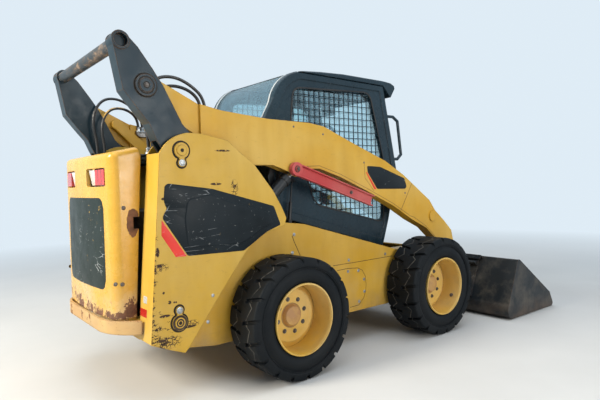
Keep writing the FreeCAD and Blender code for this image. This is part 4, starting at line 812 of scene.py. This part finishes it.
def ring_on_side(x, z, radius, width, side, y, thick=0.5):
    """Flat ring on a side face."""
    points = [(x + radius * math.cos(math.tau * i / 36), z + radius * math.sin(math.tau * i / 36)) for i in range(36)]
    return ribbon_on_side(points, width, side, y, thick, closed=True)


def add_keepers():
    painted_shadows = []
    grease = []
    bolts = []
    for side in (-1, 1):
        for index, (x, z, direction) in enumerate(KEEPERS):
            # Painted shadow: a dark band round each plate, and the pin bolt in the same shadow colour.
            painted_shadows.append(ribbon_on_side(keyhole(x, z, direction, 5.0), 13.0, side, TOWER_OUTER, 0.5, closed=True))
            face = TOWER_OUTER + KEEPER_THICK
            painted_shadows.append(bolt((x, side * (TOWER_OUTER + PIN_HEAD), z), (0, side, 0), 7.0, 3.0, 0.3))
            if index:
                grease.append(ring_on_side(x, z, 38.0, 13.0, side, face, 1.0))
                grease.append(ring_on_side(x, z, 20.0, 9.0, side, TOWER_OUTER + PIN_HEAD, 0.8))
            end = z + direction * KEEPER_LENGTH
            bolts.append(bolt((x, side * face, end), (0, side, 0), 13.0, 9.0, 0.4 + index))
    new_piece("keeper_painted_shadows", *joined(painted_shadows), "frame", ("seam",), "dark_paint")
    new_piece("keeper_grease", *joined(grease), "frame", ("grease",), "dark_paint")
    new_piece("keeper_bolts", *joined(bolts), "frame", ("zinc",), "bare_steel")


add_keepers()


def add_link_pins():
    """Dark joints round the pin heads of the rear links, with a bolt in the middle of each."""
    x, z = ARM_PIVOT
    rings = []
    bolts = []
    for side in (-1, 1):
        rings.append(ring_on_side(x, z, 66.0, 8.0, side, LINK_OUT))
        rings.append(ring_on_side(x, z, 47.0, 6.0, side, LINK_OUT + 10.0))
        rings.append(ring_on_side(x, z, 17.0, 5.0, side, LINK_OUT + 16.0))
        bolts.append(bolt((x, side * (LINK_OUT + 16.0), z), (0, side, 0), 9.0, 5.0, 0.5))
    new_piece("link_pin_gaps", *joined(rings), LINK_BODY, ("seam",), "dark_paint")
    new_piece("link_pin_bolts", *joined(bolts), LINK_BODY, ("stud",), "bare_steel")


add_link_pins()


def add_brace_bolts():
    """Pivot bolt and stop pin of the lock brace, on the right arm only."""
    y = -(BRACE_FACE + 34.0)
    head = [bolt((BRACE_HEAD[0], y - 10.0, BRACE_HEAD[1]), (0, -1, 0), 9.0, 6.0, 0.4)]
    along = math.radians(BRACE_ANGLE)
    x = BRACE_HEAD[0] + 560.0 * math.cos(along)
    z = BRACE_HEAD[1] + 560.0 * math.sin(along)
    head.append(bolt((x, -(BRACE_FACE + 8.0), z), (0, -1, 0), 9.0, 12.0, 0.1))
    new_piece("brace_bolts", *joined(head), "lift_arm", ("stud",), "bare_steel")
    new_piece("brace_gap", *ring_on_side(BRACE_HEAD[0], BRACE_HEAD[1], 21.0, 7.0, -1, BRACE_FACE + 34.0), "lift_arm",
              ("grease",), "dark_paint")


add_brace_bolts()


def add_reflectors():
    """Red and white prism strips on the towers' rear faces, which lean by 0.0786."""
    red = []
    white = []
    for side in (-1, 1):
        for parts, inner, outer, low, high in ((red, 490.0, 585.0, 524.0, 570.0), (white, 530.0, 580.0, 604.0, 645.0)):
            vertices = []
            for reach, inset in ((0.5, 0.0), (-1.4, 0.0), (-2.0, 2.0)):
                for y, z in ((inner + inset, low + inset), (outer - inset, low + inset),
                             (outer - inset, high - inset), (inner + inset, high - inset)):
                    vertices.append((-947.0 + (z - 386.0) * 0.0786 + reach, side * y, z))
            faces = [(4 * k + i, 4 * k + (i + 1) % 4, 4 * k + 4 + (i + 1) % 4, 4 * k + 4 + i)
                     for k in range(2) for i in range(4)] + [(8, 9, 10, 11)]
            if side < 0:
                faces = [tuple(reversed(f)) for f in faces]
            parts.append((vertices, faces))
    new_piece("reflectors_red", *joined(red), "frame", ("reflector_red",), "lamp_lens", smooth=0)
    new_piece("reflectors_white", *joined(white), "frame", ("reflector_white",), "lamp_lens", smooth=0)


add_reflectors()


DOOR_BOLTS = ((-1005, 1158), (-1067, 722), (-1027, 716))


def add_door_bolts():
    parts = [bolt((x, side * DOOR_HALF, z), (0, side, 0), 8.0, 5.0, x) for x, z in DOOR_BOLTS for side in (-1, 1)]
    new_piece("door_bolts", *joined(parts), "rear_door", ("stud",), "bare_steel")


add_door_bolts()


# Tyres

LUG_COUNT = 18
LUG_START = -1.8
LUG_LEAN = 40.0
LUG_WIDTH = 112.0
LUG_OVERLAP = 12.0
TREAD_PROFILE = (
    # |y|, radius on a lug, radius in a groove
    (0.0, 398.0, 398.0), (6.0, 398.0, 398.0), (12.0, 398.0, 398.0), (15.0, 398.0, 381.5), (30.0, 398.0, 381.0),
    (45.0, 398.0, 381.0), (60.0, 398.0, 381.0), (75.0, 398.0, 381.0), (90.0, 398.0, 381.0), (105.0, 398.0, 381.0),
    (118.0, 397.8, 380.5), (128.0, 397.3, 379.0), (134.0, 396.3, 376.0), (138.5, 394.0, 372.0), (141.8, 390.0, 367.0),
    (144.0, 382.0, 362.0), (146.0, 370.0, 357.5), (147.6, 358.0, 353.5), (148.6, 350.5, 350.0),
)
WALL_PROFILE = (
    # |y|, radius
    (147.0, 346.0), (147.2, 342.0), (143.5, 339.5), (142.8, 337.0), (145.4, 335.0), (145.4, 331.5), (138.6, 329.0),
    (138.2, 326.0), (140.1, 322.0), (143.0, 316.0), (145.8, 309.0), (147.8, 302.0), (149.3, 294.0), (149.9, 285.0),
    (149.1, 275.0), (146.9, 266.0), (143.8, 258.0), (140.3, 251.0), (136.6, 245.0), (133.0, 240.0), (129.5, 235.5),
    (126.0, 231.5), (123.2, 228.4),
)


def groove_columns():
    """Positions along the tread, in millimetres, finer at the walls of the grooves between lugs."""
    pitch = math.tau * TYRE_RADIUS / LUG_COUNT
    half = (pitch - LUG_WIDTH) / 2.0
    steps = [-half - 1.2, -half, -half + 1.6, -half + 3.4, -4.0, 4.0, half - 3.4, half - 1.6, half, half + 1.2]
    columns = []
    for index in range(2 * LUG_COUNT):
        centre = index * pitch / 2.0
        columns += [centre + s for s in steps]
        columns += [centre + half + 1.2 + (pitch / 2.0 - 2 * half - 2.4) * k / 4.0 for k in (1, 2, 3)]
    return columns, pitch, half


def depth_share(c, side, pitch, half):
    """0 on a lug and 1 on the floor of a groove, for a place along the tread."""
    middle = pitch / 2.0 if side > 0 else 0.0
    off = abs((c - middle + pitch / 2.0) % pitch - pitch / 2.0)
    return min(1.0, max(0.0, (half - off) / 3.4))


def tyre_mesh(station, side_of_machine):
    columns, pitch, half = groove_columns()
    rows = [(-y, r, None) for y, r in reversed(WALL_PROFILE)]
    rows += [(-y, lug, floor) for y, lug, floor in reversed(TREAD_PROFILE[1:])]
    rows += [(y, lug, floor) for y, lug, floor in TREAD_PROFILE]
    rows += [(y, r, None) for y, r in WALL_PROFILE]
    vertices = []
    shares = []
    for y, lug, floor in rows:
        lean = LUG_LEAN * (TYRE_WIDTH / 2.0 - abs(y)) / (TYRE_WIDTH / 2.0 + LUG_OVERLAP)
        for c in columns:
            share = 0.0 if floor is None else depth_share(c, 1 if y > 0 else -1, pitch, half)
            radius = lug if floor is None else lug + (floor - lug) * share
            angle = math.radians(LUG_START) + (c - lean) / TYRE_RADIUS
            vertices.append((station - radius * math.sin(angle), side_of_machine * WHEEL_MIDDLE + y,
                             TYRE_RADIUS - radius * math.cos(angle)))
            shares.append(share)
    count = len(columns)
    faces = []
    places = []
    uvs = []
    turn = math.tau * TYRE_RADIUS
    for k in range(len(rows) - 1):
        wall = rows[k][2] is None or rows[k + 1][2] is None
        for i in range(count):
            j = (i + 1) % count
            quad = (k * count + i, k * count + j, (k + 1) * count + j, (k + 1) * count + i)
            faces.append(quad)
            deep = sum(shares[q] for q in quad) / 4.0
            places.append(2 if wall else (1 if deep > 0.55 else 0))
            left = columns[i] / 1000.0
            right = (columns[j] + (turn if j == 0 else 0.0)) / 1000.0
            low, high = rows[k][0] / 1000.0, rows[k + 1][0] / 1000.0
            if wall:
                low, high = rows[k][1] / 1000.0, rows[k + 1][1] / 1000.0
            uvs += [(left, low), (right, low), (right, high), (left, high)]
    return vertices, faces, places, uvs


def add_tyres():
    for end, station in (("front", WHEELBASE), ("rear", 0.0)):
        for label, side in (("left", 1), ("right", -1)):
            vertices, faces, places, uvs = tyre_mesh(station, side)
            place = end + "_" + label
            new_piece("tread_" + place, vertices, faces, "wheel_" + place, ("tread", "groove", "wall"), "tyre_rubber",
                      ("tyre_" + place,), 34.0, places, uvs)


add_tyres()


# Rims: wheel bolts, hub cap rust and valves

RIM_FACE = 8.0
BOLT_CIRCLE = 113.0
BOLT_COUNT = 8
VALVE_ANGLES = {"front": -0.55, "rear": 2.4}


def add_valves():
    """Valve stem in each rim's barrel, next to the lip."""
    for end, station in (("front", WHEELBASE), ("rear", 0.0)):
        for label, side in (("left", 1), ("right", -1)):
            angle = VALVE_ANGLES[end]
            reach = 218.0
            foot = (station + reach * math.cos(angle), side * (WHEEL_MIDDLE + 78.0), TYRE_RADIUS + reach * math.sin(angle))
            inward = Vector((-math.cos(angle), side * 0.9, -math.sin(angle))).normalized()
            tip = tuple(Vector(foot) + inward * 24.0)
            parts = [bolt(foot, inward, 11.0, 10.0, 0.2), bolt(foot, inward, 4.5, 26.0), bolt(tip, inward, 5.5, 14.0)]
            place = end + "_" + label
            new_piece("valve_" + place, *joined(parts), "wheel_" + place, ("stud",), "bare_steel")


add_valves()


def add_wheel_bolts():
    for end, station in (("front", WHEELBASE), ("rear", 0.0)):
        for label, side in (("left", 1), ("right", -1)):
            parts = []
            y = side * (WHEEL_MIDDLE - RIM_FACE)
            for index in range(BOLT_COUNT):
                angle = math.tau * (index + 0.3) / BOLT_COUNT
                x = station + BOLT_CIRCLE * math.cos(angle)
                z = TYRE_RADIUS + BOLT_CIRCLE * math.sin(angle)
                parts.append(bolt((x, y, z), (0, side, 0), 10.0, 11.0, angle))
            place = end + "_" + label
            new_piece("wheel_bolts_" + place, *joined(parts), "wheel_" + place, ("stud",), "bare_steel")


add_wheel_bolts()


# Seat: padded pan and back on a rubber bellows

def pad_points(half, crown, channels, cuts=26, power=5.0):
    """Crowned pad as (vertices, faces) about its own middle: half sizes, crown height and sewn channels in mm."""
    bm = bmesh.new()
    bmesh.ops.create_cube(bm, size=2.0)
    bmesh.ops.subdivide_edges(bm, edges=bm.edges[:], cuts=cuts, use_grid_fill=True)
    vertices = []
    for v in bm.verts:
        p = v.co.copy()
        size = sum(abs(c) ** power for c in p) ** (1.0 / power)
        p /= size
        rise = max(0.0, 1 - p.x ** 2) * max(0.0, 1 - p.y ** 2)
        x = p.x * half[0] * (1 - 0.035 * (1 - p.y ** 2))
        y = p.y * half[1] * (1 - 0.035 * (1 - p.x ** 2))
        z = p.z * half[2] + (crown * rise if p.z > 0 else 0.0)
        if p.z > 0.2:
            for axis, middle in channels:
                off = (p.x if axis == "x" else p.y) - middle
                z -= 7.0 * math.exp(-(off / 0.035) ** 2) * rise ** 0.4
        vertices.append((x, y, z))
    faces = [tuple(v.index for v in f.verts) for f in bm.faces]
    bm.free()
    return vertices, faces


def placed(points, origin, along, up):
    """Pad points put in place: local x runs along, local z runs up, both (x, z) directions."""
    return [(origin[0] + x * along[0] + z * up[0], origin[1] + y, origin[2] + x * along[1] + z * up[1])
            for x, y, z in points]


def add_piping(name, half, drop, origin, along, up):
    """Sewn cord round a pad's edge."""
    line = []
    for i in range(48):
        angle = math.tau * i / 48
        c, s = math.cos(angle), math.sin(angle)
        size = (abs(c) ** 6 + abs(s) ** 6) ** (1 / 6)
        line.append((c / size * half[0] * 0.985, s / size * half[1] * 0.985, drop))
    data = bpy.data.curves.new(name, "CURVE")
    data.dimensions = "3D"
    spline = data.splines.new("POLY")
    spline.points.add(len(line) - 1)
    for point, place in zip(spline.points, placed(line, origin, along, up)):
        point.co = (*at(*place), 1.0)
    spline.use_cyclic_u = True
    data.bevel_depth = 0.0035
    data.bevel_resolution = 3
    data.materials.append(MATERIALS["vinyl"])
    piece = bpy.data.objects.new(name, data)
    bpy.context.scene.collection.objects.link(piece)
    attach(piece, "frame")


def add_bellows():
    vertices = []
    faces = []
    count = 48
    rings = 24
    for k in range(rings + 1):
        z = 912.0 + 112.0 * k / rings
        inset = 9.0 * (1 - math.cos(math.tau * k / 4.0)) / 2.0
        for i in range(count):
            angle = math.tau * i / count
            c, s = math.cos(angle), math.sin(angle)
            size = (abs(c) ** 8 + abs(s) ** 8) ** (1 / 8)
            vertices.append((525 + c / size * (195 - inset), s / size * (190 - inset), z))
    for k in range(rings):
        for i in range(count):
            j = (i + 1) % count
            faces.append((k * count + i, k * count + j, (k + 1) * count + j, (k + 1) * count + i))
    return new_piece("seat_bellows", vertices, faces, "frame", ("hose",), "hose_rubber")


def add_seat():
    pan_up = (0.0, 1.0)
    pan_along = (1.0, 0.0)
    vertices, faces = pad_points((238, 233, 47), 16.0, (("y", -0.55), ("y", 0.55), ("x", 0.25), ("x", -0.3)))
    pan = new_piece("seat_pan", placed(vertices, (550, 0, 1057), pan_along, pan_up), faces, "frame", ("vinyl",),
                    "seat_cover")
    length = math.hypot(85, 530)
    along = (-85 / length, 530 / length)
    up = (along[1], -along[0])
    vertices, faces = pad_points((262, 218, 40), 14.0, (("y", -0.5), ("y", 0.5), ("x", 0.3), ("x", -0.25)))
    back = new_piece("seat_back", placed(vertices, (332, 0, 1375), along, up), faces, "frame", ("vinyl",), "seat_cover")
    bellows = add_bellows()
    for piece in (pan, back, bellows):
        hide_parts("seat")
    add_piping("seat_pan_piping", (238, 233), 20.0, (550, 0, 1057), pan_along, pan_up)
    add_piping("seat_back_piping", (262, 218), 18.0, (332, 0, 1375), along, up)


add_seat()


# Cab trim: grey seals along the rear pane, rubber round the side windows

REAR_ARC = ((94.0, 1866.0), (190.0, 2034.0), (330.0, 2106.0))
WINDOW = [(290, 1985), (262, 1720), (478, 1112), (1245, 925), (1268, 1440), (1105, 2018)]
WINDOW_CORNER = 60.0
PANEL_DEPTH = 7.0


def arc_through(a, b, c, steps=16):
    """Points of the circle through three (x, z) points, from the first to the last."""
    ax, ay, bx, by, cx, cy = *a, *b, *c
    d = 2 * (ax * (by - cy) + bx * (cy - ay) + cx * (ay - by))
    ux = ((ax * ax + ay * ay) * (by - cy) + (bx * bx + by * by) * (cy - ay) + (cx * cx + cy * cy) * (ay - by)) / d
    uy = ((ax * ax + ay * ay) * (cx - bx) + (bx * bx + by * by) * (ax - cx) + (cx * cx + cy * cy) * (bx - ax)) / d
    radius = math.hypot(ax - ux, ay - uy)
    start = math.atan2(ay - uy, ax - ux)
    sweep = (math.atan2(cy - uy, cx - ux) - start + math.pi) % math.tau - math.pi
    return [(ux + radius * math.cos(start + sweep * i / steps), uy + radius * math.sin(start + sweep * i / steps))
            for i in range(steps + 1)]


def add_cab_trim():
    seals = []
    rubbers = []
    line = [(28, 1742)] + arc_through(*REAR_ARC)[:-3]
    for side in (-1, 1):
        vertices = []
        for x, z in line:
            for y in (384.0, 400.5):
                vertices.append((x - 0.5, side * y, z + 0.5))
                vertices.append((x + 5.0, side * y, z - 4.0))
        faces = []
        for i in range(len(line) - 1):
            a = 4 * i
            b = a + 4
            faces += [(a, b, b + 2, a + 2), (a + 1, a, b, b + 1), (a + 2, a + 3, b + 3, b + 2)]
        seals.append((vertices, faces))
        rubbers.append(ribbon_on_side(rounded_corners(WINDOW, 78.0, 8), 14.0, side, CAB_HALF - PANEL_DEPTH, 3.0, True))
    new_piece("rear_pane_seals", *joined(seals), "frame", ("seal",), "black_plastic")
    new_piece("window_rubbers", *joined(rubbers), "frame", ("hose",), "hose_rubber")


add_cab_trim()


# Hoses, as in the part's source: node, side, length in millimetres, route

HOSES = (
    ("hose_right_outer", -1, 919.0, [(-842, 468, 1476), (-842, 468, 1594), (-866, 470, 1712), (-860, 474, 1830),
                                     (-794, 484, 1928), (-686, 497, 1946), (-582, 509, 1906), (-482, 518, 1818),
                                     (-482, 518, 1712)]),
    ("hose_right_inner", -1, 782.0, [(-806, 443, 1476), (-806, 443, 1584), (-828, 444, 1694), (-814, 448, 1800),
                                     (-752, 459, 1880), (-657, 478, 1896), (-564, 500, 1862), (-514, 518, 1790),
                                     (-514, 518, 1712)]),
    ("hose_left_outer", 1, 937.0, [(-846, 468, 1476), (-846, 468, 1598), (-872, 470, 1718), (-864, 474, 1838),
                                   (-794, 484, 1938), (-684, 497, 1954), (-580, 509, 1912), (-482, 518, 1822),
                                   (-482, 518, 1712)]),
    ("hose_left_inner", 1, 753.0, [(-802, 443, 1476), (-802, 443, 1578), (-822, 444, 1684), (-808, 448, 1786),
                                   (-750, 459, 1864), (-657, 478, 1882), (-564, 500, 1852), (-514, 518, 1786),
                                   (-514, 518, 1712)]),
)
HOSE_RADIUS = 10.0


def add_hose(node, side, length, route):
    data = bpy.data.curves.new(node + "_line", "CURVE")
    data.dimensions = "3D"
    spline = data.splines.new("NURBS")
    spline.points.add(len(route) - 1)
    for point, (x, y, z) in zip(spline.points, route):
        point.co = (*at(x, side * y, z), 1.0)
    spline.order_u = 3
    spline.use_endpoint_u = True
    spline.resolution_u = 12
    data.bevel_depth = HOSE_RADIUS / 1000.0
    data.bevel_resolution = 4
    data.use_fill_caps = True
    data.materials.append(MATERIALS["hose_lined" if node == "hose_left_inner" else "hose"])
    line = bpy.data.objects.new(node + "_line", data)
    bpy.context.scene.collection.objects.link(line)
    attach(line, "frame")
    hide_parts(node)


for hose in HOSES:
    add_hose(*hose)


def add_fittings():
    """Hexagon collars on both ends of the hoses."""
    low = []
    high = []
    for index, (_, side, _, route) in enumerate(HOSES):
        for parts, (x, y, z), height in ((low, route[0], 34.0), (high, route[-1], 34.0)):
            parts.append(bolt((x, side * y, z - 4.0), (0, 0, 1), 14.5, height, 0.4 * index))
            parts.append(bolt((x, side * y, z + 24.0), (0, 0, 1), 11.5, 14.0, 0.9 * index))
    new_piece("hose_fittings_low", *joined(low), "frame", ("zinc",), "bare_steel")
    new_piece("hose_fittings_high", *joined(high), "lift_arm", ("zinc",), "bare_steel")


add_fittings()


# Studio

def add_light(name, kind_size, power, colour, place, aim):
    data = bpy.data.lights.new(name, "AREA")
    data.shape = "RECTANGLE"
    data.size, data.size_y = kind_size
    data.energy = power
    data.color = colour
    lamp = bpy.data.objects.new(name, data)
    lamp.location = place
    lamp.rotation_euler = (Vector(aim) - Vector(place)).to_track_quat("-Z", "Y").to_euler()
    bpy.context.scene.collection.objects.link(lamp)


def add_world():
    world = bpy.data.worlds.new("studio")
    world.use_nodes = True
    tree = world.node_tree
    tree.nodes.clear()
    rays = tree.nodes.new("ShaderNodeLightPath")
    seen = tree.nodes.new("ShaderNodeBackground")
    seen.inputs["Color"].default_value = (*BACKDROP, 1.0)
    seen.inputs["Strength"].default_value = 1.0
    lit = tree.nodes.new("ShaderNodeBackground")
    lit.inputs["Strength"].default_value = 0.42
    ramp = tree.nodes.new("ShaderNodeValToRGB")
    coords = tree.nodes.new("ShaderNodeTexCoord")
    split = tree.nodes.new("ShaderNodeSeparateXYZ")
    rise = tree.nodes.new("ShaderNodeMapRange")
    rise.inputs["From Min"].default_value = -1.0
    rise.inputs["From Max"].default_value = 1.0
    tree.links.new(coords.outputs["Generated"], split.inputs[0])
    tree.links.new(split.outputs["Z"], rise.inputs["Value"])
    tree.links.new(rise.outputs["Result"], ramp.inputs["Fac"])
    ramp.color_ramp.elements[0].position = 0.45
    ramp.color_ramp.elements[0].color = (0.14, 0.13, 0.12, 1.0)
    ramp.color_ramp.elements[1].position = 0.56
    ramp.color_ramp.elements[1].color = (0.78, 0.89, 1.0, 1.0)
    tree.links.new(ramp.outputs["Color"], lit.inputs["Color"])
    either = tree.nodes.new("ShaderNodeVectorMath")
    either.operation = "LENGTH"
    kinds = tree.nodes.new("ShaderNodeCombineXYZ")
    for socket, kind in zip(kinds.inputs, ("Is Camera Ray", "Is Glossy Ray", "Is Transmission Ray")):
        tree.links.new(rays.outputs[kind], socket)
    tree.links.new(kinds.outputs[0], either.inputs[0])
    mix = tree.nodes.new("ShaderNodeMixShader")
    out = tree.nodes.new("ShaderNodeOutputWorld")
    tree.links.new(either.outputs["Value"], mix.inputs[0])
    tree.links.new(lit.outputs[0], mix.inputs[1])
    tree.links.new(seen.outputs[0], mix.inputs[2])
    tree.links.new(mix.outputs[0], out.inputs["Surface"])
    bpy.context.scene.world = world


def add_floor():
    mesh = bpy.data.meshes.new("floor")
    reach = 60.0
    mesh.from_pydata([(-reach, -reach, 0), (reach, -reach, 0), (reach, reach, 0), (-reach, reach, 0)], [],
                     [(0, 1, 2, 3)])
    floor = bpy.data.objects.new("floor", mesh)
    bpy.context.scene.collection.objects.link(floor)
    s = Shader("studio_floor")
    tone = s.mix(s.span(s.noise(0.8, 5.0), 0.3, 0.7), (0.56, 0.56, 0.55), (0.62, 0.62, 0.61))
    near_floor = s.new("BsdfPrincipled", {"Base Color": tone, "Roughness": 0.85}).outputs[0]
    far_floor = s.new("Emission", {"Color": (*BACKDROP, 1.0)}).outputs[0]
    rays = s.new("LightPath").outputs
    away = s.new("VectorMath", {0: s.place}, operation="LENGTH").outputs["Value"]
    fade = s.both(s.span(away, 3.0, 9.5), s.either(rays["Is Camera Ray"], rays["Is Glossy Ray"],
                                                    rays["Is Transmission Ray"]))
    whole = s.new("MixShader", {0: fade, 1: near_floor, 2: far_floor}).outputs[0]
    out = s.new("OutputMaterial")
    s.tree.links.new(whole, out.inputs["Surface"])
    mesh.materials.append(s.material)


add_light("key", (2.0, 2.0), 730.0, (1.0, 0.93, 0.80), (-7.6, 0.6, 4.4), (-1.0, 0.0, 0.9))
add_light("top", (7.0, 7.0), 300.0, (0.92, 0.96, 1.0), (-0.5, -1.0, 6.5), (0.0, 0.0, 0.5))
add_light("side", (2.4, 2.8), 215.0, (1.0, 0.97, 0.92), (0.2, -7.5, 2.2), (0.0, 0.0, 0.9))
add_world()
add_floor()
bpy.context.scene.view_settings.view_transform = "Standard"
